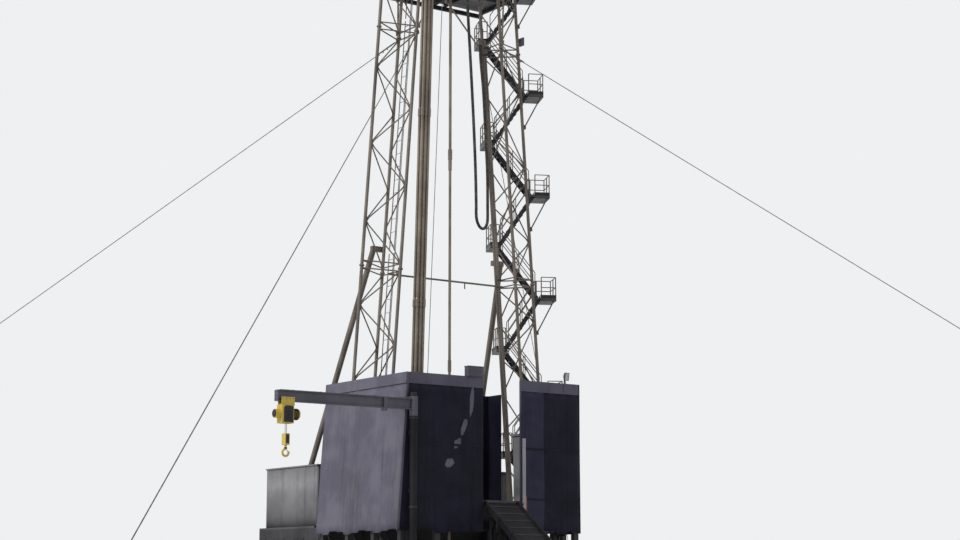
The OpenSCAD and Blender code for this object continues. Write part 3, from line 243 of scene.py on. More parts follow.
class Finish:
    # A material in the making, in the model's own metres
    def __init__(self, name, roughness=0.6, metallic=0.0, shine=0.5):
        self.material = bpy.data.materials.new(name)
        self.material.use_nodes = True
        self.tree = self.material.node_tree
        self.shader = self.tree.nodes["Principled BSDF"]
        settings = {"Roughness": roughness, "Metallic": metallic, "Specular IOR Level": shine}
        for socket, value in settings.items():
            self.feed(self.shader.inputs[socket], value)
        self.space = self.tree.nodes.new("ShaderNodeTexCoord").outputs["Object"]

    def feed(self, socket, value):
        if isinstance(value, bpy.types.NodeSocket):
            self.tree.links.new(value, socket)
        else:
            socket.default_value = value

    def node(self, kind, inputs, output, **settings):
        made = self.tree.nodes.new("ShaderNode" + kind)
        for name, value in settings.items():
            setattr(made, name, value)
        for name, value in inputs.items():
            self.feed(made.inputs[name], value)
        return made.outputs[output]

    def noise(self, scale, detail, stretch=(1, 1, 1), rough=0.6, shift=(0, 0, 0)):
        spot = self.node("Mapping", {"Scale": stretch, "Location": shift, "Vector": self.space}, "Vector")
        settings = {"Scale": scale, "Detail": detail, "Roughness": rough, "Vector": spot}
        return self.node("TexNoise", settings, "Fac")

    def level(self, value, low, high, toLow=0.0, toHigh=1.0):
        span = {"Value": value, "From Min": low, "From Max": high, "To Min": toLow, "To Max": toHigh}
        return self.node("MapRange", span, "Result", interpolation_type="SMOOTHSTEP")

    def mix(self, share, a, b):
        # The colour mixer's inputs and output go by number, because their names repeat
        a, b = [c if isinstance(c, bpy.types.NodeSocket) else (*c, 1) for c in (a, b)]
        return self.node("Mix", {0: share, 6: a, 7: b}, 2, data_type="RGBA")

    def sums(self, kind, a, b):
        return self.node("Math", {0: a, 1: b}, 0, operation=kind)

    def axis(self, name):
        return self.node("SeparateXYZ", {0: self.space}, name)

    def bump(self, height, depth, strength, under=None):
        inputs = {"Strength": strength, "Distance": depth, "Height": height}
        if under is not None:
            inputs["Normal"] = under
        return self.node("Bump", inputs, "Normal")

    def done(self, colour, normal=None, roughness=None):
        for socket, value in (("Base Color", colour), ("Normal", normal), ("Roughness", roughness)):
            if value is not None:
                self.feed(self.shader.inputs[socket], value)
        return self.material


# How paint ages: faded patches, dirty runs, rust spots, mud up to a height, and a fine grain
ageing = {
    "patch": 1.3, "runs": (0.5, 0.75), "rustFrom": 0.5, "rustSpan": 0.22, "rustEdge": 0.07, "rustDark": 0.45,
    "mudTop": 0.9, "mudFull": 0.05, "mud": (0.16, 0.125, 0.09), "grain": 70, "grainDepth": 0.0008,
    "pitDepth": 0.002, "lozenge": 0.05, "lozengeHigh": 0.002,
}

# What a finish has unless it says otherwise, and the long runs that the wall sheets share
usualLook = {"metallic": 0.0, "shine": 0.5, "runs": 5, "runLength": 0.12, "runShare": 0.5, "spots": 11,
             "lozenges": False}
sheetRuns = {"rusty": 0.06, "runs": 3.4, "runLength": 0.05}
looks = {
    "mastSteel": {
        "paint": (0.13, 0.108, 0.094), "faded": (0.2, 0.17, 0.142), "dirt": (0.05, 0.042, 0.042),
        "rust": (0.19, 0.085, 0.04), "rusty": 0.45, "runShare": 0.7, "roughness": (0.5, 0.85),
        "metallic": 0.15},
    "darkSteel": {
        "paint": (0.026, 0.025, 0.03), "faded": (0.045, 0.042, 0.046), "dirt": (0.016, 0.015, 0.016),
        "rust": (0.1, 0.046, 0.026), "rusty": 0.3, "roughness": (0.45, 0.8), "metallic": 0.05, "shine": 0.2},
    # Near-black of the jib crane's post and of the ramp, painted shade: both stand in the shade of the front
    # wall, and the post merges with it
    "paintedShadeBlack": {
        "paint": (0.01, 0.0095, 0.012), "faded": (0.018, 0.017, 0.021), "dirt": (0.007, 0.0065, 0.007),
        "rust": (0.05, 0.026, 0.016), "rusty": 0.2, "roughness": (0.55, 0.85), "shine": 0.15},
    # Worn grey of the jib crane's beam, the floodlights, the box on the wall and the pale sheets left of the
    # V-door
    "boomPaint": {
        "paint": (0.066, 0.064, 0.09), "faded": (0.105, 0.1, 0.13), "dirt": (0.035, 0.033, 0.042),
        "rust": (0.13, 0.065, 0.035), "rusty": 0.3, "roughness": (0.45, 0.75), "metallic": 0.1},
    "deckPlate": {
        "paint": (0.045, 0.043, 0.046), "faded": (0.08, 0.075, 0.075), "dirt": (0.026, 0.023, 0.022),
        "rust": (0.12, 0.06, 0.035), "rusty": 0.4, "roughness": (0.4, 0.8), "metallic": 0.3,
        "lozenges": True},
    "leftWallSheet": {
        "paint": (0.095, 0.09, 0.122), "faded": (0.135, 0.13, 0.166), "dirt": (0.055, 0.052, 0.07),
        "rust": (0.13, 0.1, 0.085), "runShare": 0.8, "roughness": (0.6, 0.9), "shine": 0.25, **sheetRuns},
    # Dark navy of the front wind walls, darkened further as painted shade of the shaded front; the right wall,
    # the rear wall's inner face and the front battens take it too
    "navySheetPaintedShade": {
        "paint": (0.009, 0.0085, 0.018), "faded": (0.015, 0.0145, 0.029), "dirt": (0.006, 0.0055, 0.01),
        "rust": (0.05, 0.035, 0.035), "runShare": 0.7, "roughness": (0.55, 0.85), "shine": 0.12, **sheetRuns},
    # The strip of the right front panel beside the V-door, bleached paler than the rest
    "fadedFrontSheet": {
        "paint": (0.022, 0.021, 0.045), "faded": (0.032, 0.03, 0.06), "dirt": (0.012, 0.0115, 0.022),
        "rust": (0.08, 0.055, 0.05), "runShare": 0.6, "roughness": (0.55, 0.85), "shine": 0.15, **sheetRuns},
    "capSheet": {
        "paint": (0.055, 0.052, 0.087), "faded": (0.08, 0.076, 0.118), "dirt": (0.034, 0.032, 0.05),
        "rust": (0.12, 0.08, 0.065), "rusty": 0.12, "roughness": (0.5, 0.8)},
    "jambPaint": {
        "paint": (0.27, 0.275, 0.31), "faded": (0.34, 0.34, 0.37), "dirt": (0.09, 0.085, 0.09),
        "rust": (0.16, 0.09, 0.06), "rusty": 0.35, "runs": 7, "runShare": 0.7, "roughness": (0.45, 0.75)},
    "warningRed": {
        "paint": (0.33, 0.06, 0.03), "faded": (0.4, 0.11, 0.06), "dirt": (0.1, 0.04, 0.03),
        "rust": (0.14, 0.06, 0.035), "rusty": 0.4, "roughness": (0.45, 0.75)},
    "shedSheet": {
        "paint": (0.165, 0.16, 0.172), "faded": (0.22, 0.214, 0.222), "dirt": (0.09, 0.086, 0.09),
        "rust": (0.2, 0.12, 0.08), "rusty": 0.18, "runLength": 0.08, "runShare": 0.75,
        "roughness": (0.5, 0.8)},
    "brightSteel": {
        "paint": (0.17, 0.142, 0.115), "faded": (0.26, 0.22, 0.175), "dirt": (0.07, 0.052, 0.045),
        "rust": (0.2, 0.09, 0.042), "rusty": 0.55, "roughness": (0.35, 0.7), "metallic": 0.55},
    "hoistYellow": {
        "paint": (0.52, 0.37, 0.035), "faded": (0.6, 0.45, 0.09), "dirt": (0.12, 0.09, 0.04),
        "rust": (0.13, 0.075, 0.04), "rusty": 0.35, "spots": 16, "roughness": (0.4, 0.75), "metallic": 0.05},
    "cabinetPaint": {
        "paint": (0.2, 0.2, 0.21), "faded": (0.28, 0.28, 0.285), "dirt": (0.09, 0.085, 0.08),
        "rust": (0.17, 0.085, 0.05), "rusty": 0.25, "roughness": (0.4, 0.7)},
}


def lozengePlate(finish, under):
    # Raised lozenges, one set along each diagonal
    turns = 2 * math.pi / ageing["lozenge"]
    ways = [finish.sums(kind, finish.axis("X"), finish.axis("Y")) for kind in ("ADD", "SUBTRACT")]
    waves = [finish.sums("SINE", finish.sums("MULTIPLY", way, turns), 0.0) for way in ways]
    raised = finish.level(finish.sums("MULTIPLY", *waves), 0.35, 0.6)
    return finish.bump(raised, ageing["lozengeHigh"], 0.7, under)


def weathered(name):
    look = {**usualLook, **looks[name]}
    finish = Finish(name, metallic=look["metallic"], shine=look["shine"])
    patches = finish.level(finish.noise(ageing["patch"], 3), 0.35, 0.65)
    colour = finish.mix(patches, look["paint"], look["faded"])
    runs = finish.noise(look["runs"], 4, (1, 1, look["runLength"]), 0.65)
    colour = finish.mix(finish.level(runs, *ageing["runs"], 0, look["runShare"]), colour, look["dirt"])
    spots = finish.noise(look["spots"], 9, rough=0.72, shift=(3.1, 7.7, 1.9))
    line = ageing["rustFrom"] + ageing["rustSpan"] * (1 - look["rusty"])
    rusted = finish.level(spots, line, line + ageing["rustEdge"])
    rustTone = finish.mix(finish.noise(45, 3), look["rust"], [c * ageing["rustDark"] for c in look["rust"]])
    colour = finish.mix(rusted, colour, rustTone)
    mud = finish.sums("MULTIPLY", finish.level(finish.axis("Z"), ageing["mudTop"], ageing["mudFull"]),
                      finish.level(finish.noise(4, 6), 0.3, 0.6))
    colour = finish.mix(mud, colour, ageing["mud"])
    normal = finish.bump(finish.noise(ageing["grain"], 4), ageing["grainDepth"], 0.5)
    normal = finish.bump(spots, ageing["pitDepth"], 0.35, normal)
    if look["lozenges"]:
        normal = lozengePlate(finish, normal)
    rough = finish.level(finish.sums("ADD", finish.noise(6, 4), rusted), 0.3, 1.3, *look["roughness"])
    return finish.done(colour, normal, rough)


def wireRope():
    finish = Finish("wireRope", metallic=0.6)
    greased = finish.level(finish.noise(14, 6), 0.4, 0.6)
    colour = finish.mix(greased, (0.07, 0.065, 0.06), (0.17, 0.155, 0.14))
    lay = finish.node("TexWave", {"Scale": 24, "Distortion": 0.4, "Vector": finish.space}, "Fac",
                      bands_direction="DIAGONAL")
    rough = finish.level(finish.noise(30, 3), 0.3, 0.7, 0.4, 0.75)
    return finish.done(colour, finish.bump(lay, 0.002, 0.6), rough)


def hoseRubber():
    finish = Finish("hoseRubber")
    dusty = finish.level(finish.noise(9, 6), 0.45, 0.7)
    colour = finish.mix(dusty, (0.026, 0.025, 0.026), (0.1, 0.09, 0.08))
    rough = finish.level(finish.noise(12, 4), 0.3, 0.7, 0.6, 0.85)
    return finish.done(colour, finish.bump(finish.noise(160, 3), 0.0008, 0.5), rough)


def lampGlass():
    finish = Finish("lampGlass", roughness=0.12)
    dusty = finish.level(finish.noise(30, 5), 0.4, 0.7)
    colour = finish.mix(dusty, (0.55, 0.58, 0.6), (0.36, 0.34, 0.3))
    return finish.done(colour, finish.bump(finish.noise(90, 2), 0.0005, 0.2))


finishes = {name: weathered(name) for name in looks}
finishes.update({make.__name__: make() for make in (wireRope, hoseRubber, lampGlass)})

# Which finish each of the record's slots takes
slotFinish = {
    "mast_steel": "mastSteel", "dark_steel": "darkSteel", "deck_plate": "deckPlate",
    "left_wall_sheet": "leftWallSheet", "front_wall_sheet": "navySheetPaintedShade", "shed_sheet": "shedSheet",
    "bright_steel": "brightSteel", "wire_rope": "wireRope", "hoist_yellow": "hoistYellow",
    "hose_rubber": "hoseRubber", "cabinet_paint": "cabinetPaint",
}
finishSlot = {finish: slot for slot, finish in slotFinish.items()}
finishSlot.update({
    "capSheet": "front_wall_sheet", "fadedFrontSheet": "front_wall_sheet", "jambPaint": "cabinet_paint",
    "warningRed": "cabinet_paint", "lampGlass": "cabinet_paint", "boomPaint": "dark_steel",
    "paintedShadeBlack": "dark_steel",
})

# Solids whose paint differs from the rest of their slot. The rear wall takes the near-black front sheet as
# painted shade, because its inner face is seen in shade through the V-door; the jib post and the ramp take
# painted shade as well.
ownFinish = {
    "wall_front_left": "capSheet", "wall_front_right": "capSheet", "wall_right": "navySheetPaintedShade",
    "wall_rear": "navySheetPaintedShade", "wall_box": "boomPaint", "v_door_ramp": "paintedShadeBlack",
    "jib_post": "paintedShadeBlack", "jib_boom": "boomPaint", "floodlights": "boomPaint",
}


def dressSolids():
    slots = {part["node"]: part["material_slot"] for part in frame["record"]["subparts"]}
    for name, node in frame["nodes"].items():
        node.data.materials.clear()
        node.data.materials.append(finishes[ownFinish.get(name, slotFinish[slots[name]])])


dressSolids()
print("solids dressed")

# Rotary hose, from the swivel down, round its loop and up to the standpipe
hose = {
    "radius": 0.035,
    "steps": 9,
    "sides": 16,
    "route": [(0.23, -0.06, 17.8), (0.23, -0.06, 17.65), (0.246, -0.066, 17.25), (0.3, -0.09, 16.5),
              (0.37, -0.11, 15.3), (0.42, -0.125, 14.27), (0.5, -0.13, 13), (0.58, -0.13, 11.7),
              (0.64, -0.128, 10.5), (0.664, -0.123, 9.7), (0.668, -0.12, 9.4), (0.703, -0.102, 9.253),
              (0.799, -0.052, 9.145), (0.93, 0.015, 9.105), (1.061, 0.082, 9.145), (1.157, 0.132, 9.253),
              (1.192, 0.15, 9.4), (1.192, 0.15, 9.7), (1.185, 0.15, 10.5), (1.13, 0.15, 11.5),
              (1.075, 0.158, 12.5), (1.01, 0.176, 13.25), (1, 0.18, 13.55), (1, 0.18, 13.65)],
}


def curveAt(a, b, c, d, t):
    # The Catmull-Rom curve from b to c
    return 0.5 * (2 * b + (c - a) * t + (2 * a - 5 * b + 4 * c - d) * t * t
                  + (3 * b - 3 * c + d - a) * t ** 3)


def smoothRoute(route, steps):
    points = [Vector(p) for p in route]
    last = len(points) - 1
    fine = [curveAt(points[max(i - 1, 0)], points[i], points[i + 1], points[min(i + 2, last)], k / steps)
            for i in range(last) for k in range(steps)]
    return fine + [points[last]]


def makeHose():
    path = smoothRoute(hose["route"], hose["steps"])
    shape = Shape()
    shape.tube(path, hose["radius"], hose["sides"])
    made = shape.piece("rotaryHose", "hoseRubber", None)
    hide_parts("rotary_hose")
    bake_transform(made)


makeHose()

# Ropes: a fluted section that turns as it goes, as the strands do
rope = {"strands": 6, "flute": 0.16, "lay": 0.11, "ringsPerLay": 8, "sides": 18}


def addRope(shape, start, end, radius):
    start, end = Vector(start), Vector(end)
    along = (end - start).normalized()
    length = (end - start).length
    count = max(3, int(length / rope["lay"] * rope["ringsPerLay"]))
    side = along.cross(ropeSkew).normalized()
    over = along.cross(side)
    rings = []
    for i in range(count + 1):
        at = start + along * length * i / count
        turn = 2 * math.pi * length * i / count / rope["lay"]
        ring = []
        for k in range(rope["sides"]):
            a = 2 * math.pi * k / rope["sides"]
            r = radius * (1 - rope["flute"] * (0.5 - 0.5 * math.cos(rope["strands"] * a)))
            ring.append(at + r * (side * math.cos(a + turn) + over * math.sin(a + turn)))
        rings.append(ring)
    shape.loft(rings)


lines = {"crownShift": 0.02, "turnSteps": 30, "turnSides": 10}


def makeLines():
    pitch, crown, block = rig["sheavePitch"], rig["crownRadius"], rig["blockRadius"]
    top, low, thick = rig["sheaveZ"] - rig["gap"], rig["blockZ"], rig["line"]
    shape = Shape()
    for count, first, way in ((4, 2, -1), (3, 1, 1)):
        for j in range(count):
            addRope(shape, ((j - first) * pitch + lines["crownShift"], way * crown, top),
                    ((j - 1.5) * pitch, way * block, low), thick)
    # The last one crosses over, from the front of the fast sheave to the rear of the block's
    cross = math.asin((crown + block) / (rig["sheaveZ"] - low))
    addRope(shape, (rig["fastX"], -crown * math.cos(cross), top - crown * math.sin(cross)),
            (1.5 * pitch, block * math.cos(cross), low + block * math.sin(cross)), thick)
    made = shape.piece("drillingLines", "wireRope", None)
    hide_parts("drilling_lines")
    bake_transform(made)
    turns = Shape()
    for j in range(4):
        sweep = math.pi + (cross if j == 3 else 0)
        angles = [sweep * i / lines["turnSteps"] for i in range(lines["turnSteps"] + 1)]
        turns.tube([Vector(((j - 1.5) * pitch, -block * math.cos(a), low - block * math.sin(a)))
                    for a in angles], thick, lines["turnSides"])
    turns.piece("blockTurns", "wireRope", "block_carriage")


makeLines()

hoistRope = {"x": -5.69, "y": -2.5, "half": 0.03, "radius": 0.006, "low": 3.79, "high": 3.9922}


def makeHoistRope():
    x, low, high = hoistRope["x"], hoistRope["low"], hoistRope["high"]
    shape = Shape()
    for y in (hoistRope["y"] - hoistRope["half"], hoistRope["y"] + hoistRope["half"]):
        addRope(shape, (x, y, low), (x, y, high), hoistRope["radius"])
    made = shape.piece("hoistRope", "wireRope", None)
    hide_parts("hoist_rope")
    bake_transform(made)


makeHoistRope()
print("ropes laid")

# Wall and shed sheets: skins that lie on the solids' outer faces
sheeting = {"pitch": 0.29, "seam": 0.005, "bulge": 0.011, "rowPitch": 0.15, "thick": 0.0015, "dent": 0.005,
            "stand": 0.006, "ragged": 0.09, "paleTo": 0.93, "lining": 0.0403, "foot": 0.01,
            "rightInset": 0.03, "rightEnd": -0.56, "rearStart": 1.81, "rearFoot": 2.11}


def skin(corners, outward, profile, rows, lower=None, dent=0.0, seed=0):
    # corners: low start, low end, high end, high start; profile: (share along, height off the face)
    lowA, lowB, highB, highA = [Vector(c) for c in corners]
    outward = Vector(outward).normalized()
    chance = random.Random(seed)
    waves = [(chance.uniform(1.2, 3.5), chance.uniform(0.6, 1.6), chance.uniform(0, 6)) for _ in range(5)]
    spots, count = [], len(rows)
    for share, height in profile:
        foot, head = between(lowA, lowB, share), between(highA, highB, share)
        for row in rows:
            point = between(foot, head, row)
            if row == 0 and lower:
                point = point - (head - foot).normalized() * lower(share)
            wobble = sum(math.sin(a * share * 9 + b * row * 7 + c) for a, b, c in waves) / len(waves)
            spots.append(point + outward * (height + dent * wobble))
    shape = Shape()
    starts = [c * count + r for c in range(len(profile) - 1) for r in range(count - 1)]
    shape.add(spots, [(a, a + count, a + count + 1, a + 1) for a in starts], True)
    return shape


def broadSheets(length, seed):
    # Sheets that bulge a little between narrow standing seams
    count = max(2, round(length / sheeting["pitch"]))
    chance = random.Random(seed)
    profile = []
    for i in range(count):
        bulge = sheeting["bulge"] * chance.uniform(0.2, 1)
        for along, height in ((0, 0), (0.03, sheeting["seam"]), (0.06, sheeting["seam"]), (0.09, 0),
                              (0.25, bulge * 0.6), (0.54, bulge), (0.8, bulge * 0.6)):
            profile.append(((i + along) / count, sheeting["stand"] + height))
    return profile + [(1, sheeting["stand"])]


def corrugation(length, pitch, depth, stand, steps=8):
    count = max(2, round(length / pitch))
    return [(i / (count * steps), stand + depth / 2 * (1 - math.cos(2 * math.pi * i / steps)))
            for i in range(count * steps + 1)]


def uprightFace(start, end, low, high):
    # Corners of a wall from start to end, each (x, y), where x may be a function of the height
    return [(x(z) if callable(x) else x, y, z)
            for (x, y), z in ((start, low), (end, low), (end, high), (start, high))]


def thicken(made, thick):
    solid = made.modifiers.new("thickness", "SOLIDIFY")
    solid.thickness = thick
    solid.offset = 0


def linedLeftX(z):
    return wallLeftX(z) + sheeting["lining"]


def makeWallSheets():
    top, low = rig["wallTop"] - rig["capHeight"], rig["wallBottom"] + sheeting["foot"]
    front, rear, edge, pale = rig["frontY"], rig["rearWallY"], rig["rightX"], sheeting["paleTo"]
    doorLeft, doorRight = rig["vDoor"]
    walls = {
        "left": ((wallLeftX, rear), (wallLeftX, front), low, top, (-1, 0, -0.07), "leftWallSheet"),
        # The front and right walls take the navy sheet darkened with painted shade
        "frontLeft": ((linedLeftX, front), (doorLeft, front), low, top, (0, -1, 0), "navySheetPaintedShade"),
        "frontPale": ((doorRight, front), (pale, front), low, top, (0, -1, 0), "fadedFrontSheet"),
        "frontRight": ((pale, front), (edge - sheeting["rightInset"], front), low, top, (0, -1, 0),
                       "navySheetPaintedShade"),
        "right": ((edge, front), (edge, sheeting["rightEnd"]), low, rig["wallTop"], (1, 0, 0),
                  "navySheetPaintedShade"),
        "rear": ((sheeting["rearStart"], rear), (linedLeftX, rear), sheeting["rearFoot"], rig["wallTop"],
                 (0, 1, 0), "leftWallSheet"),
    }
    for order, (name, (start, end, foot, head, outward, finish)) in enumerate(walls.items()):
        corners = uprightFace(start, end, foot, head)
        length, height = [(Vector(corners[i]) - Vector(corners[0])).length for i in (1, 3)]
        steps = round(height / sheeting["rowPitch"])
        chance = random.Random(40 + order)
        count = max(2, round(length / sheeting["pitch"]))
        drops = [chance.uniform(0, sheeting["ragged"]) if name != "rear" else 0 for _ in range(count + 1)]
        shape = skin(corners, outward, broadSheets(length, 70 + order), [i / steps for i in range(steps + 1)],
                     lambda share: drops[int(share * count)], sheeting["dent"], order)
        thicken(shape.piece("wallSheets_" + name, finish), sheeting["thick"])


makeWallSheets()

shed = {"pitch": 0.05, "depth": 0.014, "stand": 0.003, "thick": 0.0015, "dent": 0.002, "foot": 0.005,
        "head": 0.002}


def makeShedSheets():
    (x0, y0, z0), (x1, y1, z1) = rig["shedLow"], rig["shedHigh"]
    sides = {"left": ((x0, y1), (x0, y0), -right), "right": ((x1, y0), (x1, y1), right),
             "rear": ((x1, y1), (x0, y1), back), "front": ((x0, y0), (x1, y0), -back)}
    for name, (start, end, outward) in sides.items():
        ribs = corrugation((Vector(end) - Vector(start)).length, shed["pitch"], shed["depth"], shed["stand"])
        shape = skin(uprightFace(start, end, z0 + shed["foot"], z1 - shed["head"]), outward, ribs,
                     (0, 0.5, 1), dent=shed["dent"], seed=9)
        thicken(shape.piece("shedSheets_" + name, "shedSheet"), shed["thick"])


makeShedSheets()

# Battens over the walls, the painted jamb of the V-door and pale ragged sheets left of it
trim = {
    "thick": 0.006, "battenHigh": 0.05, "battens": (2.62, 3.72), "screw": 0.006, "screwPitch": 0.29,
    # How far the battens stop from the left corner, from the V-door's right side and from the right corner
    "battenInset": (0.05, 0.13, 0.04), "patchScrew": 0.15, "patchOff": 0.002,
    "jamb": (0.3, 0.4, 1.97, 3.97), "band": (0.4, 0.425, 2.35, 2.7), "jambDeep": (0.02, 0.05),
    "jambScrews": 5,
    # Middle (x, z), half width, half height and lean of each pale sheet
    "patches": [(-1.05, 4.7, 0.06, 0.33, 0.1), (-1.25, 4.15, 0.09, 0.2, 0.35), (-1.42, 3.8, 0.1, 0.13, 0.5),
                (-1.62, 3.36, 0.12, 0.12, 0.2)],
}


def raggedOutline(x, z, wide, high, lean, chance, count=11):
    outline = []
    for i in range(count):
        a, r = 2 * math.pi * i / count, chance.uniform(0.7, 1.05)
        rise = high * r * math.sin(a)
        outline.append((x + wide * r * math.cos(a) + rise * lean, z + rise))
    return outline


def makeTrim():
    face = rig["frontY"] - sheeting["stand"] - sheeting["bulge"] - trim["thick"]
    battens, screws, patches = Shape(), Shape(), Shape()
    heads, (doorLeft, doorRight) = [], rig["vDoor"]
    atLeft, atDoor, atRight = trim["battenInset"]
    for z in trim["battens"]:
        for x0, x1 in ((wallLeftX(z) + atLeft, doorLeft), (doorRight + atDoor, rig["rightX"] - atRight)):
            battens.box((x0, face, z), (x1, face + trim["thick"], z + trim["battenHigh"]))
            heads += [(x0 + (i + 0.5) * trim["screwPitch"], face, z + trim["battenHigh"] / 2)
                      for i in range(int((x1 - x0) / trim["screwPitch"]))]
    battens.piece("frontBattens", "navySheetPaintedShade")
    for name, finish in (("jamb", "jambPaint"), ("band", "warningRed")):
        x0, x1, z0, z1 = trim[name]
        near, step = face - trim["thick"], (z1 - z0) / trim["jambScrews"]
        strip, (deep, edgeDeep) = Shape(), trim["jambDeep"]
        strip.box((x0, near, z0), (x1, face + deep, z1))
        strip.box((x0, near, z0), (x0 + trim["thick"], face + edgeDeep, z1))
        heads += [((x0 + x1) / 2, near, z0 + (i + 0.5) * step) for i in range(trim["jambScrews"])]
        strip.piece("vDoorJamb_" + name, finish)
    chance, inward = random.Random(5), trim["patchScrew"]
    for patch in trim["patches"]:
        outline = raggedOutline(*patch, chance)
        patches.plate(outline, trim["thick"] / 2, frameAt((0, face + trim["patchOff"], 0)))
        midX, midZ = [sum(c[i] for c in outline) / len(outline) for i in (0, 1)]
        heads += [(between(x, midX, inward), face, between(z, midZ, inward)) for x, z in outline]
    patches.piece("frontPatches", "boomPaint")
    screws.bolts(heads, (0, -1, 0), trim["screw"])
    screws.piece("wallScrews", "darkSteel")


makeTrim()
print("sheets hung")

# Legs: bolts through the flanges, webs where the bracing meets the chords, clamps on the riser
leg = {"boltRing": 0.048, "bolt": 0.0065, "bolts": 6, "webLong": 0.05, "webReach": 0.15, "webTip": 0.02,
       "webThick": 0.007, "riser": (-0.07, 0.18), "clampRing": 0.038, "clamp": 0.005, "clampFoot": 0.045}


def chordAt(name, s, side):
    half = rig["legWidth"] / 2
    x, y = {"front": (0, -half), "rear": (0, half), "outer": (rig["legDepth"], 0)}[name]
    return onLeg(side, x, y, s)


def legBraces(side):
    # Every zigzag brace of a leg, as the places where it meets two chords
    flange = rig["flange"]
    ends = (0,) + rig["joints"] + (rig["legTop"],)
    for s0, s1 in zip(ends, ends[1:]):
        low = s0 + 2 * flange
        high = s1 - (3 * flange if s1 == ends[-1] else flange)
        step = (high - low) / rig["bays"]
        for i in range(0, rig["bays"], 2):
            s = low + i * step
            for a, b in (("rear", "outer"), ("front", "rear"), ("front", "outer")):
                yield chordAt(a, s, side), chordAt(b, s + step, side)
                yield chordAt(b, s + step, side), chordAt(a, s + 2 * step, side)


def addWeb(webs, start, end, rise):
    along = (end - start).normalized()
    share = along.dot(rise)
    out = (along - rise * share).normalized()
    skirt, tipS, tipOut = rig["chord"] * 0.6, share * leg["webReach"], along.dot(out) * leg["webReach"]
    webs.plate([(-leg["webLong"], skirt), (leg["webLong"], skirt), (tipS + leg["webTip"], tipOut),
                (tipS - leg["webTip"], tipOut)], leg["webThick"], frameAt(start, rise, out))


def makeLegDetail():
    bolts, webs, clamps = Shape(), Shape(), Shape()
    for side in (-1, 1):
        rise = (onLeg(side, 0, 0, 1) - onLeg(side, 0, 0, 0)).normalized()
        across = rise.cross(back).normalized()
        for s in rig["joints"]:
            for name in ("front", "rear", "outer"):
                for way in (rise, -rise):
                    middle = chordAt(name, s, side) + way * rig["flangeThick"]
                    ring = circle(middle, leg["boltRing"], leg["bolts"], across, back, math.pi / leg["bolts"])
                    bolts.bolts(ring, way, leg["bolt"])
        for p, q in legBraces(side):
            addWeb(webs, p, q, rise)
            addWeb(webs, q, p, rise)
    (x, y), r = leg["riser"], leg["clampRing"]
    arc = [(x - r * math.sin(math.pi * i / 10), y + r * math.cos(math.pi * i / 10)) for i in range(11)]
    arc = [(x + leg["clampFoot"], y + r)] + arc + [(x + leg["clampFoot"], y - r)]
    for s in rig["joints"][:2]:
        for off in (-rig["flange"], 2 * rig["flange"]):
            for shift in (-0.01, 0.01):
                clamps.tube([onLeg(1, px, py, s + off + shift) for px, py in arc], leg["clamp"])
    bolts.piece("flangeBolts", "darkSteel")
    webs.piece("bracingWebs", "mastSteel")
    clamps.piece("riserClamps", "darkSteel")


makeLegDetail()

# Stair: nosings and bolts on the treads, toe plates and edge channels on the landings
stair = {"off": 1.08, "outer": 0.385, "reach": 0.074, "inner": 0.24, "width": 0.25, "front": 0.1,
         "stringer": 0.012, "laneGap": 0.006, "treads": 9, "tread": 0.12, "treadMid": 0.007, "landing": 0.08,
         "toe": 0.07, "toeThick": 0.004, "nosing": 0.014, "nosingLip": 0.005, "rim": 0.006, "bolt": 0.006,
         "boltShift": 0.035}
stairTurn = math.atan2(rig["legWidth"] / 2, rig["legDepth"] / leanCos)
stairShift = rig["rise"] * leanTan * math.cos(stairTurn)
stairSkew = rig["rise"] * leanTan * math.sin(stairTurn) / 2
farLane = stair["front"] + stair["width"] + 2 * (stair["stringer"] + stairSkew) + stair["laneGap"]
stairFront = stair["front"] - stair["stringer"] - stairSkew
stairEnd = farLane + stair["width"] + stair["stringer"] + stairSkew
innerEnd = stair["inner"] - stair["reach"]


def stairFrame(level):
    # x outward along the leg's slanting rear face, y away from it, z from the ground
    return Matrix.Translation((innerX(level), rig["legWidth"] / 2, 0)) @ Matrix.Rotation(-stairTurn, 4, "Z")


def addFlight(nosings, bolts, k):
    odd = k % 2 == 1
    z0 = rig["floorZ"] + (k - 1) * rig["rise"]
    place = stairFrame(z0)
    foot = (stair["off"] if odd else innerEnd, z0)
    head = ((innerEnd if odd else stair["off"]) - stairShift, z0 + rig["rise"])
    lane = (farLane if odd else stair["front"]) - stairSkew
    way = 1 if head[0] > foot[0] else -1
    outer = lane + stair["width"] + stair["stringer"] if odd else lane - stair["stringer"]
    outward = place.to_3x3() @ Vector((0, 1 if odd else -1, 0))
    thick, shift = stair["toeThick"], stair["boltShift"]
    for i in range(1, stair["treads"] + 1):
        x, z = (between(foot[n], head[n], i / (stair["treads"] + 1)) for n in (0, 1))
        nose = x - way * (stair["tread"] / 2 + 0.001)
        nosings.box((nose - thick, lane + thick, z - stair["nosing"]),
                    (nose + thick, lane + stair["width"] - thick, z + stair["nosingLip"]), place)
        spots = grid((x - shift, x + shift), (outer,), (z - stair["treadMid"],))
        bolts.bolts([place @ spot for spot in spots], outward, stair["bolt"])


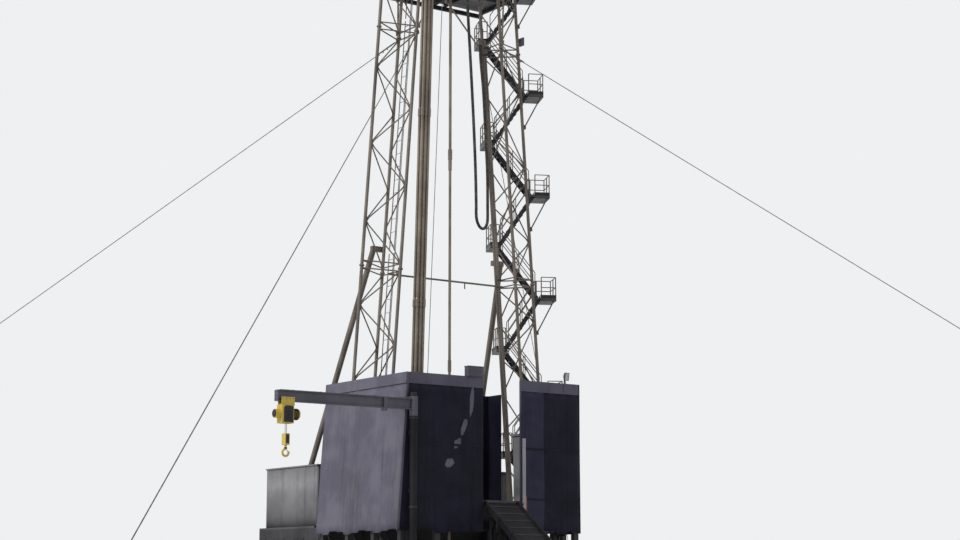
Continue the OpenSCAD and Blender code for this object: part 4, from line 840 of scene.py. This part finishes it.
def addLanding(toes, k):
    z = rig["floorZ"] + k * rig["rise"]
    place = stairFrame(z)
    thick, top = stair["toeThick"], z + stair["toe"]
    if k % 2 == 1:
        x0, x1, end = -stair["reach"], innerEnd, -stair["reach"]
    else:
        x0, x1 = stair["off"], stair["off"] + stair["outer"]
        end = x1 - thick
    toes.box((end, stairFront, z), (end + thick, stairEnd, top), place)
    if k < rig["flights"]:
        toes.box((x0, stairFront, z), (x1, stairFront + thick, top), place)
    toes.box((x0, stairEnd - thick, z), (x1, stairEnd, top), place)
    # Edge channels give the landing's slab its lips
    for y in (stairFront, stairEnd):
        for rim in (z - stair["rim"], z - stair["landing"]):
            toes.box((x0, y - thick, rim), (x1, y + thick, rim + stair["rim"]), place)


def makeStairDetail():
    nosings, bolts, toes = Shape(), Shape(), Shape()
    for k in range(1, rig["flights"] + 1):
        addFlight(nosings, bolts, k)
        addLanding(toes, k)
    nosings.piece("treadNosings", "darkSteel")
    bolts.piece("stringerBolts", "darkSteel")
    toes.piece("landingToePlates", "darkSteel")


makeStairDetail()

# Balcony: toe plates round its edges and cross bolts in the beams
balcony = {"x": 2.15, "front": 1.8, "rear": 1.75, "toe": 0.085, "thick": 0.004, "inset": 0.007, "well": 0.65,
           "stairHead": (-0.62, 0.51), "beamTop": 15.0, "beamWide": 0.06, "nearBeam": 0.4158,
           "joists": (0.71, 1.01, 2.12), "bolt": 0.009, "boltDrops": (0.03, 0.07)}


def makeBalconyDetail():
    x, z = balcony["x"] - balcony["inset"], rig["balconyZ"]
    front, rear, wide = -balcony["front"], balcony["rear"], balcony["beamWide"]
    top, thick = z + balcony["toe"], balcony["thick"]
    low, high = balcony["stairHead"]
    toes, bolts = Shape(), Shape()
    plates = [(-x, -x + thick, front, rear), (x - thick, x, front, low), (x - thick, x, high, rear),
              (-x, x, rear - thick, rear)]
    for side in (-1, 1):
        well = side * balcony["well"]
        plates.append((min(well, well + side * thick), max(well, well + side * thick), front,
                       -rig["legWidth"] / 2))
        for y in (front, -balcony["nearBeam"] - wide, balcony["nearBeam"], rear - wide):
            for face, out in ((y, -1), (y + wide, 1)):
                spots = grid([side * joist for joist in balcony["joists"]], (face,),
                             [balcony["beamTop"] - drop for drop in balcony["boltDrops"]])
                bolts.bolts(spots, (0, out, 0), balcony["bolt"])
    for x0, x1, y0, y1 in plates:
        toes.box((x0, y0, z), (x1, y1, top))
    toes.piece("balconyToePlates", "darkSteel")
    bolts.piece("balconyBolts", "darkSteel")


makeBalconyDetail()

# Hoisted gear: what bolts and bands the block, the hook and the swivel carry
gear = {"blockSide": 0.178, "boss": 0.09, "sideRings": ((0.135, 0.011), (0.25, 0.009)), "sideBolt": 0.011,
        "hookZ": 19.3, "hookRadius": 0.12, "hookBands": (0.52, 0.42, 0.19, 0.12),
        "hookRods": (0.4, 0.22, 0.008), "swivelFoot": 17.68, "swivelHead": 18.02, "swivelRadius": 0.165,
        "swivelBolt": 0.009}


def makeGearDetail():
    block, hook, swivel = Shape(), Shape(), Shape()
    low, hookZ, boss = rig["blockZ"], gear["hookZ"], gear["boss"]
    for side in (-1, 1):
        face = side * gear["blockSide"]
        block.turned((face, 0, low), right * side, [(0, boss), (0.012, boss), (0.016, 0.08), (0.016, 0)])
        for radius, size in gear["sideRings"]:
            block.bolts(circle((face, 0, low), radius, 8, back, up), right * side, size)
        block.bolts(grid((face,), (-0.07, 0.07), (hookZ + 0.045, low + 0.46)), right * side, gear["sideBolt"])
    for drop in gear["hookBands"]:
        hook.band((0, 0, hookZ - drop), up, gear["hookRadius"], 0.01, 0.028)
    drop, long, thin = gear["hookRods"]
    for spot in circle((0, 0, hookZ - drop), gear["hookRadius"], 10):
        hook.rod(spot, spot + up * long, thin)
    low, high, r = gear["swivelFoot"], gear["swivelHead"], gear["swivelRadius"]
    for z in (low, high - 0.03):
        swivel.band((0, 0, z), up, r, 0.014, 0.03, 32)
    for z, ring, way in ((high, 0.145, up), (low, 0.14, -up)):
        swivel.bolts(circle((0, 0, z), ring, 12, turn=math.pi / 12), way, gear["swivelBolt"])
    block.piece("blockBolts", "darkSteel", "block_carriage")
    hook.piece("hookBands", "darkSteel", "block_carriage")
    swivel.piece("swivelBolts", "brightSteel", "block_carriage")


makeGearDetail()
print("mast fitted")

# Pipe stands: a tool joint at each third, and the open box at the top of each
stands = {"foot": (-1.625, 2.6), "head": (-1.28, 15.75), "spread": 0.09, "rows": (-0.945, -1.055),
          "radius": 0.032, "joint": 0.042, "half": 0.11, "taper": 0.03, "groove": 0.004}


def makeStandJoints():
    shape = Shape()
    r, wide, half, taper = stands["radius"], stands["joint"], stands["half"], stands["taper"]
    groove = stands["groove"]
    for i in (-1, 0, 1):
        for y in stands["rows"]:
            foot, head = [Vector((x + i * stands["spread"], y, z))
                          for x, z in (stands["foot"], stands["head"])]
            along = (head - foot).normalized()
            for share in (1 / 3, 2 / 3):
                shape.turned(between(foot, head, share), along,
                             [(-half, r), (taper - half, wide), (-0.003, wide), (0, wide - groove),
                              (0.003, wide), (half - taper, wide), (half, r)], 20)
            shape.turned(head, along,
                         [(-2 * half, r), (taper - 2 * half, wide), (-groove, wide), (-groove, r)], 20)
    shape.piece("standToolJoints", "brightSteel")


makeStandJoints()

# Jib crane: nut over the pin, collars, bolts, gussets, and the cable along the beam
jib = {"x": -2.625, "y": -2.5, "z": 4.545, "high": 0.225, "long": 3.3, "pin": 0.075, "nut": 0.068,
       "wide": 0.07, "collars": (0.6, 1.5, 2.4, 4.26), "collar": 0.081, "footRing": 0.135,
       "brackets": (2.745, 3.945), "bolt": 0.01, "endBolts": (0.045, 0.075), "hub": 0.735,
       "hubBolts": (-0.12, 0.1), "cable": 0.009, "saddles": 5, "saddlePitch": 0.65}


def makeJibDetail():
    x, y, z = jib["x"], jib["y"], jib["z"]
    post, boom, top = Shape(), Shape(), z + jib["high"] / 2
    pin, nut = jib["pin"], jib["nut"]
    post.turned((x, y, top + 0.075), up, [(0, pin), (0.012, pin)], 28)
    post.turned((x, y, top + 0.087), up, [(0, nut), (0.045, nut), (0.052, nut - 0.01)], 6)
    for level in jib["collars"]:
        post.band((x, y, level - 0.02), up, jib["collar"], 0.009, 0.04, 28)
    post.bolts(circle((x, y, 0.03), jib["footRing"], 8), up, 0.013)
    post.bolts(grid((x - 0.035, x + 0.035), (y + 0.03, y + 0.085), jib["brackets"]), -up, 0.009)
    post.piece("jibPostBolts", "darkSteel")
    dy, dz = jib["endBolts"]
    boom.bolts(grid((x - jib["long"],), (y - dy, y + dy), (z - dz, z, z + dz)), -right, jib["bolt"])
    for side in (-1, 1):
        heads = grid((x - jib["hub"],), (y + side * jib["wide"],), [z + dz for dz in jib["hubBolts"]])
        boom.bolts(heads, (0, side, 0), jib["bolt"])
        # Gussets between the hub and the beam
        boom.plate([(0, 0), (-0.22, 0), (0, 0.06)], 0.008, frameAt((x - 0.08, y + side * 0.035, top)))
    # Cable along the beam's top flange, on its saddles
    boom.tube([Vector((x - 0.1 - 0.1 * i, y + 0.03 + 0.004 * math.sin(i * 1.7),
                       top + 0.011 + 0.003 * math.sin(i * 0.9) ** 2)) for i in range(32)], jib["cable"])
    for i in range(jib["saddles"]):
        at = x - 0.3 - i * jib["saddlePitch"]
        boom.box((at - 0.02, y + 0.005, top), (at + 0.02, y + 0.055, top + 0.022))
    boom.piece("boomBolts", "boomPaint", "jib_boom")


makeJibDetail()

# Hoist: dark covers over the yellow body, ribs on the motor, bolts and a hook latch
hoist = {"z": 4.4325, "half": 0.11, "motorDrop": 0.25, "motor": 0.105, "ribs": 8, "ribPitch": 0.016,
         "slats": 5, "slatPitch": 0.035, "cover": 0.012, "bolt": 0.009,
         "corners": [(-0.11, -0.42), (0.1, -0.42), (0.1, -0.11), (0.06, -0.09), (-0.07, -0.09),
                     (-0.11, -0.13)],
         "heads": [(-0.09, -0.4), (0.08, -0.4), (0.07, -0.11), (-0.08, -0.13)],
         "row": (-0.12, -0.04, 0.04, 0.12), "rowOut": 0.079, "rowUp": 0.06, "rowBolt": 0.008}


def makeHoistDetail():
    x, y, z = hoistRope["x"], hoistRope["y"], hoist["z"]
    dark, latch, low = Shape(), Shape(), hoistRope["low"]
    for side in (-1, 1):
        out = (0, side, 0)
        face = y + side * hoist["half"]
        dark.plate([(x + dx, z + dz) for dx, dz in hoist["corners"]], hoist["cover"],
                   frameAt((0, face + side * hoist["cover"] / 2, 0)))
        heads = [(x + dx, face + side * hoist["cover"], z + dz) for dx, dz in hoist["heads"]]
        dark.bolts(heads, out, hoist["bolt"])
        near, far = min(face, face + side * 0.02), max(face, face + side * 0.02)
        for i in range(hoist["slats"]):
            slat = z - 0.35 + i * hoist["slatPitch"]
            dark.box((x - 0.06, near, slat), (x + 0.06, far, slat + 0.014))
        row = grid([x + dx for dx in hoist["row"]], (y + side * hoist["rowOut"],), (z + hoist["rowUp"],))
        dark.bolts(row, out, hoist["rowBolt"])
        latch.bolts([(x, y + side * 0.075, low - 0.1)], out, 0.022)
        latch.plate([(x - 0.035, low - 0.2), (x + 0.035, low - 0.2), (x + 0.035, low - 0.02),
                     (x - 0.035, low - 0.02)], 0.006, frameAt((0, y + side * 0.078, 0)))
    axle, inner, rim = z - hoist["motorDrop"], hoist["motor"] - 0.01, hoist["motor"] + 0.012
    for i in range(hoist["ribs"]):
        dark.turned((x + 0.125 + i * hoist["ribPitch"], y, axle), right,
                    [(0, inner), (0.0005, rim), (0.005, rim), (0.006, inner)], 32)
    dark.turned((x + 0.27, y, axle), right, [(0, 0.095), (0.012, 0.09), (0.02, 0.06), (0.02, 0)], 32)
    dark.turned((x - 0.27, y, axle), -right, [(0, 0.08), (0.014, 0.07), (0.016, 0)], 32)
    dark.piece("hoistCovers", "darkSteel", "hoist_trolley")
    latch.band((x, y, low - 0.31), up, 0.024, 0.01, 0.034, 20, 0.004)
    latch.rod((x + 0.012, y, low - 0.318), (x + 0.068, y, low - 0.365), 0.006)
    latch.piece("hoistLatch", "darkSteel", "hoist_hook")


makeHoistDetail()

# Floodlights: a ribbed housing with a rim round its glass, on a bracket
lamps = {
    "wall": {"low": (1.44, -2.4929, 5.05), "high": (1.56, -2.3729, 5.5), "deep": 0.09, "glassHigh": 0.18,
             "headOut": 0.024, "headDrop": 0.105, "tilt": 8, "arm": 0.02, "armThick": 0.008,
             "armFoot": 0.035, "armHead": 0.05, "boltUp": (0.04, 0.14), "bolt": 0.008, "cableThick": 0.007,
             "cable": [(0, 0.02, 0.01), (0, 0.024, 0.12), (0.01, 0.04, 0.2), (0, 0.03, 0.27)]},
    "leg": {"s": 11.244, "off": 0.8883, "size": (0.12, 0.16, 0.2)},
    "rim": 0.012, "ribs": 5,
}


def addLamp(body, glass, place, wide, deep, high):
    # Housing in its own frame: the glass faces -y, the bracket is at +y
    w, h, rim = wide / 2, high / 2, lamps["rim"]
    corners = ((-1, -1), (1, -1), (1, 1), (-1, 1))
    body.loft([[place @ Vector((sx * w * share, deep * y, sz * h * share)) for sx, sz in corners]
               for y, share in ((0, 1), (0.35, 1), (0.8, 0.55), (1, 0.5))], False)
    for x0, x1, z0, z1 in ((-w, w, -h, rim - h), (-w, w, h - rim, h),
                           (-w, rim - w, -h, h), (w - rim, w, -h, h)):
        body.box((x0, -0.004, z0), (x1, 0.012, z1), place)
    for i in range(lamps["ribs"]):
        z = h * 0.2 * (i - 2)
        body.box((-w * 0.8, deep * 0.4, z - 0.003), (w * 0.8, deep * 0.98, z + 0.003), place)
    glass.box((rim - w, -0.001, rim - h), (w - rim, 0.006, h - rim), place)


def makeLamps():
    body, glass, wall, size = Shape(), Shape(), lamps["wall"], lamps["leg"]["size"]
    (x0, y0, z0), (x1, y1, z1) = wall["low"], wall["high"]
    middle, half, thick = (x0 + x1) / 2, wall["arm"], wall["armThick"]
    body.box((middle - half, y1 - thick, z0), (middle + half, y1, z1 - wall["armHead"]))
    body.box((middle - half, y1 - wall["armFoot"], z0), (middle + half, y1 - thick, z0 + thick))
    cable = [Vector((middle + dx, y1 - dy, z0 + dz)) for dx, dy, dz in wall["cable"]]
    body.tube(cable, wall["cableThick"])
    body.bolts(grid((middle,), (y1 - thick,), [z0 + dz for dz in wall["boltUp"]]), -back, wall["bolt"])
    head = Matrix.Translation((middle, y0 + wall["headOut"], z1 - wall["headDrop"]))
    tilt = Matrix.Rotation(math.radians(wall["tilt"]), 4, "X")
    addLamp(body, glass, head @ tilt, x1 - x0, wall["deep"], wall["glassHigh"])
    foot = onLeg(1, lamps["leg"]["off"] - size[0] / 2, 0, lamps["leg"]["s"])
    body.box((0, -0.025, -0.06), (0.014, 0.025, 0.06), Matrix.Translation(foot))
    turn = Matrix.Translation(foot + right * (size[0] - 0.008)) @ Matrix.Rotation(math.radians(90), 4, "Z")
    addLamp(body, glass, turn, size[1], size[0] - 0.02, size[2])
    made = body.piece("floodlightHousings", "boomPaint")
    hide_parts("floodlights")
    glass.piece("floodlightGlass", "lampGlass")


makeLamps()

# Control cabinet: doors, louvres, handles and plain dials
cabinet = {"low": (1.35, -1.0, 2.6), "high": (1.7, -0.64, 4.17), "skin": 0.005, "edge": 0.02,
           "doorFoot": 0.06, "doorSplit": (0.98, 1.0), "doorHead": 0.03, "louvres": 7, "louvrePitch": 0.03,
           "louvreFoot": 0.2, "louvreHigh": 0.014, "louvreDeep": 0.008, "louvreInset": (0.07, 0.08),
           "handles": (0.55, 1.1), "handle": 0.09, "handleInset": 0.05, "handleOut": (0.02, 0.022),
           "handleThick": (0.006, 0.005), "dialFoot": (0.1, 1.24), "dialPitch": (0.13, 0.14), "dial": 0.05}


def makeCabinetDetail():
    shape, dials = Shape(), Shape()
    (x0, y0, z0), (x1, y1, z1) = cabinet["low"], cabinet["high"]
    face, side, deep = y0 - cabinet["skin"], x0 - cabinet["skin"], cabinet["louvreDeep"]
    edge, foot, head = cabinet["edge"], z0 + cabinet["doorFoot"], z1 - cabinet["doorHead"]
    under, over = [z0 + level for level in cabinet["doorSplit"]]
    for low, high in ((foot, under), (over, head)):
        shape.box((x0 + edge, face, low), (x1 - edge, y0, high))
    shape.box((side, y0 + edge, foot), (x0, y1 - edge, head))
    insetX, insetY = cabinet["louvreInset"]
    for i in range(cabinet["louvres"]):
        z = z0 + cabinet["louvreFoot"] + i * cabinet["louvrePitch"]
        top = z + cabinet["louvreHigh"]
        shape.box((x0 + insetX, face - deep, z), (x1 - insetX, face, top))
        shape.box((side - deep, y0 + insetY, z), (side, y1 - insetY, top))
    x, (grip, reach), (wide, thin) = x1 - cabinet["handleInset"], cabinet["handleOut"], cabinet["handleThick"]
    for z in (z0 + level for level in cabinet["handles"]):
        top = z + cabinet["handle"]
        shape.rod((x, face - grip, z), (x, face - grip, top), wide)
        for end in (z, top):
            shape.rod((x, face - reach, end), (x, y0, end), thin)
    r, (dx, dz), (stepX, stepZ) = cabinet["dial"], cabinet["dialFoot"], cabinet["dialPitch"]
    for spot in grid((x0 + dx, x0 + dx + stepX), (face,), (z0 + dz, z0 + dz + stepZ)):
        shape.turned(spot, -back, [(0, r), (0.018, r), (0.02, r - 0.006), (0.012, r - 0.008)])
        dials.turned(spot - back * 0.008, -back, [(0, r - 0.008), (0.003, r - 0.008)])
    shape.piece("cabinetDoors", "cabinetPaint")
    dials.piece("cabinetDials", "lampGlass")


makeCabinetDetail()

# The box on the wall: its lid, door, louvres and cable
wallBox = {"low": (-1.16, -2.4206, 5.25), "high": (-0.76, -2.27, 5.47), "lid": 0.008, "edge": 0.015,
           "louvres": 4, "louvreFoot": 0.04, "louvrePitch": 0.035, "louvreHigh": 0.015, "louvreInset": 0.05,
           "cable": [(-0.03, 0.05), (0.03, 0.05), (0.05, 0.02), (0.05, -0.02)], "cableThick": 0.012}


def makeWallBoxDetail():
    shape = Shape()
    (x0, y0, z0), (x1, y1, z1) = wallBox["low"], wallBox["high"]
    lid, edge, inset = wallBox["lid"], wallBox["edge"], wallBox["louvreInset"]
    shape.box((x0 - lid, y0 - lid, z1 - 0.012), (x1 + lid, y1 + lid, z1 + 0.006))
    shape.box((x0 + edge, y0 - 0.006, z0 + edge), (x1 - edge, y0, z1 - 0.025))
    for i in range(wallBox["louvres"]):
        z = z0 + wallBox["louvreFoot"] + i * wallBox["louvrePitch"]
        shape.box((x0 + inset, y0 - 0.014, z), (x1 - inset, y0 - 0.006, z + wallBox["louvreHigh"]))
    cable = [Vector((x1 + dx, y0 + 0.03, z0 + dz)) for dx, dz in wallBox["cable"]]
    shape.tube(cable, wallBox["cableThick"], 10)
    shape.piece("wallBoxCover", "boomPaint")


makeWallBoxDetail()

# Guys: clips and a turnbuckle near each anchor, and the anchors' plates
guy = {"x": 1.2168, "y": 0.4355, "z": 13.4226, "reach": 13.95, "low": 0.14, "radius": 0.009,
       "clips": (0.3, 0.42, 0.54), "clip": 0.016, "tail": (0.06, 0.3, 0.62), "buckle": (0.9, 1.4),
       "anchorTop": 0.11, "plate": 0.09, "plateThick": 0.012}


def addClips(shape, start, end):
    along = (end - start).normalized()
    side = along.cross(up).normalized()
    over = side.cross(along)
    r = guy["clip"]
    angles = [math.pi * i / 8 for i in range(9)]
    hoop = [(r, -0.036)] + [(r * math.cos(a), 0.014 + r * math.sin(a)) for a in angles] + [(-r, -0.036)]
    for reach in guy["clips"]:
        here = Matrix.Translation(start + along * reach) @ Matrix((side, along, over)).transposed().to_4x4()
        shape.box((-0.02, -0.014, -0.026), (0.02, 0.014, -0.012), here)
        shape.tube([here @ Vector((x, 0, z)) for x, z in hoop], 0.004, 6)
    # The tail doubled back along the wire
    shape.tube([start + along * d + over * 0.019 for d in guy["tail"]], guy["radius"])


def makeGuyDetail():
    shape, plates = Shape(), Shape()
    half, top, thick = guy["plate"], guy["anchorTop"], guy["plateThick"]
    for sx, sy in ((-1, -1), (-1, 1), (1, -1), (1, 1)):
        head = Vector((sx * guy["x"], sy * guy["y"], guy["z"]))
        foot = Vector((sx * (guy["x"] + guy["reach"]), sy * (guy["y"] + guy["reach"]), guy["low"]))
        addClips(shape, foot, head)
        addClips(shape, head, foot)
        along = (head - foot).normalized()
        side = along.cross(up).normalized()
        ends = [foot + along * reach for reach in guy["buckle"]]
        for shift in (side * -0.026, side * 0.026):
            shape.rod(ends[0] + shift, ends[1] + shift, 0.009, 10)
        for end in ends:
            shape.turned(end - along * 0.03, along,
                         [(0, 0.014), (0.004, 0.034), (0.05, 0.034), (0.056, 0.014)], 16)
        x, y = foot.x, foot.y
        plates.box((x - half, y - half, top), (x + half, y + half, top + thick))
        plates.bolts(grid((x - 0.07, x + 0.07), (y - 0.07, y + 0.07), (top + thick,)), up, 0.012)
    shape.piece("guyFittings", "brightSteel")
    plates.piece("anchorPlates", "darkSteel")


makeGuyDetail()

# Base: corner plates with bolts on the outer faces of the braced boxes, each (x0, x1, y0, y1, top)
base = {"plate": 0.17, "thick": 0.01, "beam": 0.12, "low": 0.24, "beamHigh": 0.3, "bolt": 0.011, "bay": 1.3,
        "lapDown": 0.1, "lapBack": 0.07,
        "boxes": [(-2.825, -1.825, -2.33, 0.94, 2.56), (1.96, 2.96, -0.54, 1.172, 2.56),
                  (0.9, 1.9, -2.33, -0.66, 2.56), (-2.825, -1.825, 0.96, 3.75, 2.06),
                  (1.96, 2.96, 1.192, 3.75, 2.06)]}


def addCornerPlate(shape, face, out, edge, way, z, rise):
    # way points along the beam away from the post, rise from the beam up or down the post
    size, t = base["plate"], base["thick"]
    down, behind = z - rise * base["lapDown"], edge - way * base["lapBack"]
    outline = [(behind, down), (edge + way * size, down), (edge + way * size, z), (edge, z + rise * size),
               (behind, z + rise * size)]
    shape.plate(outline, t, frameAt((face + out * t / 2, 0, 0), back, up))
    spots = ((edge + way * (size - 0.035), z - rise * 0.05), (edge + way * 0.06, z - rise * 0.05),
             (edge - way * 0.035, z + rise * 0.06), (edge - way * 0.035, z + rise * (size - 0.03)))
    shape.bolts([(face + out * t, y, level) for y, level in spots], (out, 0, 0), base["bolt"])


def makeBasePlates():
    shape = Shape()
    for x0, x1, y0, y1, top in base["boxes"]:
        count = math.ceil((y1 - y0 - base["beam"]) / base["bay"])
        bay = (y1 - y0 - base["beam"]) / count
        levels = ((base["low"], 1), (top - base["beamHigh"], -1))
        for face, out in ((x0, -1), (x1, 1)):
            for i in range(count + 1):
                post = y0 + i * bay
                sides = ([(post, -1)] if i > 0 else []) + ([(post + base["beam"], 1)] if i < count else [])
                for z, rise in levels:
                    for edge, way in sides:
                        addCornerPlate(shape, face, out, edge, way, z, rise)
    shape.piece("baseCornerPlates", "darkSteel")


makeBasePlates()

# Ramp: wear bars across the slide and stiffeners outside its cheeks
ramp = {"top": (-2.3303, 2.54), "foot": (-5.8003, 0.04), "x": (-0.675, 0.235), "cheek": 0.05, "bars": 16,
        "stiffener": 0.03}


def makeRampDetail():
    shape = Shape()
    high, low = Vector((0, *ramp["top"])), Vector((0, *ramp["foot"]))
    down = (low - high).normalized()
    x0, x1 = ramp["x"]
    for i in range(ramp["bars"]):
        place = frameAt(between(high, low, (i + 0.5) / ramp["bars"]), right, down)
        shape.box((x0 + ramp["cheek"], -0.02, -0.007), (x1 - ramp["cheek"], 0.02, 0.007), place)
        if i % 2 == 0:
            for near, far in ((x0 - ramp["stiffener"], x0), (x1, x1 + ramp["stiffener"])):
                shape.box((near, -0.006, -0.1), (far, 0.006, 0.045), place)
    shape.piece("rampBars", "darkSteel")


makeRampDetail()

# Rotary table: the split bushing round the pipe and the housing's bolts
table = {"top": 2.76, "bushing": (0.25, 0.16, 0.15), "pinRing": 0.2, "pin": (0.02, 0.018),
         "housing": (0.41, 0.31, 2.72), "bolt": 0.014}


def makeTableDetail():
    shape = Shape()
    outer, lip, bore = table["bushing"]
    wide, narrow = table["pin"]
    shape.turned((0, 0, table["top"]), up,
                 [(0, outer), (0.012, outer), (0.014, lip), (0.002, bore), (0, bore)], 48)
    for spot in circle((0, 0, table["top"] + 0.01), table["pinRing"], 4, turn=math.pi / 4):
        shape.turned(spot, up, [(0, wide), (0.03, narrow)], 16)
    x, y, z = table["housing"]
    shape.bolts(grid((-x, x), (-y, 0, y), (z,)), up, table["bolt"])
    shape.piece("tableBushing", "darkSteel")


makeTableDetail()
print("gear fitted")

# Studio: a pale floor, a soft key from the left of the photograph and an even fill
studio = {"floorHalf": 300, "floorColour": (0.78, 0.78, 0.77), "floorStain": 0.97,
          "background": (0.86, 0.87, 0.88), "fill": 0.42, "key": 2.1, "keySize": 10, "keyTurn": (50, 0, -88)}


def makeFloor():
    half = studio["floorHalf"]
    mesh = bpy.data.meshes.new("studioFloor")
    mesh.from_pydata([(-half, -half, 0), (half, -half, 0), (half, half, 0), (-half, half, 0)], [],
                     [(0, 1, 2, 3)])
    floor = bpy.data.objects.new("studioFloor", mesh)
    scene.collection.objects.link(floor)
    finish = Finish("studioFloorPaint", roughness=0.9)
    stained = [c * studio["floorStain"] for c in studio["floorColour"]]
    mesh.materials.append(finish.done(finish.mix(finish.noise(0.5, 3), studio["floorColour"], stained)))


def makeWorld():
    # The camera, mirrors and glass see the pale background, and everything else the fill
    world = bpy.data.worlds.new("studioWorld")
    world.use_nodes = True
    scene.world = world
    nodes, links = world.node_tree.nodes, world.node_tree.links
    fill = nodes["Background"]
    fill.inputs["Color"].default_value = (1, 1, 1, 1)
    fill.inputs["Strength"].default_value = studio["fill"]
    seen = nodes.new("ShaderNodeBackground")
    seen.inputs["Color"].default_value = (*studio["background"], 1)
    seen.inputs["Strength"].default_value = 1
    rays = nodes.new("ShaderNodeLightPath")
    direct = rays.outputs["Is Camera Ray"]
    for name in ("Is Glossy Ray", "Is Transmission Ray"):
        either = nodes.new("ShaderNodeMath")
        either.operation = "MAXIMUM"
        links.new(direct, either.inputs[0])
        links.new(rays.outputs[name], either.inputs[1])
        direct = either.outputs[0]
    choose = nodes.new("ShaderNodeMixShader")
    for output, socket in ((direct, 0), (fill.outputs[0], 1), (seen.outputs[0], 2)):
        links.new(output, choose.inputs[socket])
    links.new(choose.outputs[0], nodes["World Output"].inputs["Surface"])


def makeKey():
    light = bpy.data.lights.new("key", "SUN")
    light.energy = studio["key"]
    light.angle = math.radians(studio["keySize"])
    key = bpy.data.objects.new("key", light)
    key.rotation_euler = [math.radians(d) for d in studio["keyTurn"]]
    scene.collection.objects.link(key)


makeFloor()
makeWorld()
makeKey()
print("studio lit")
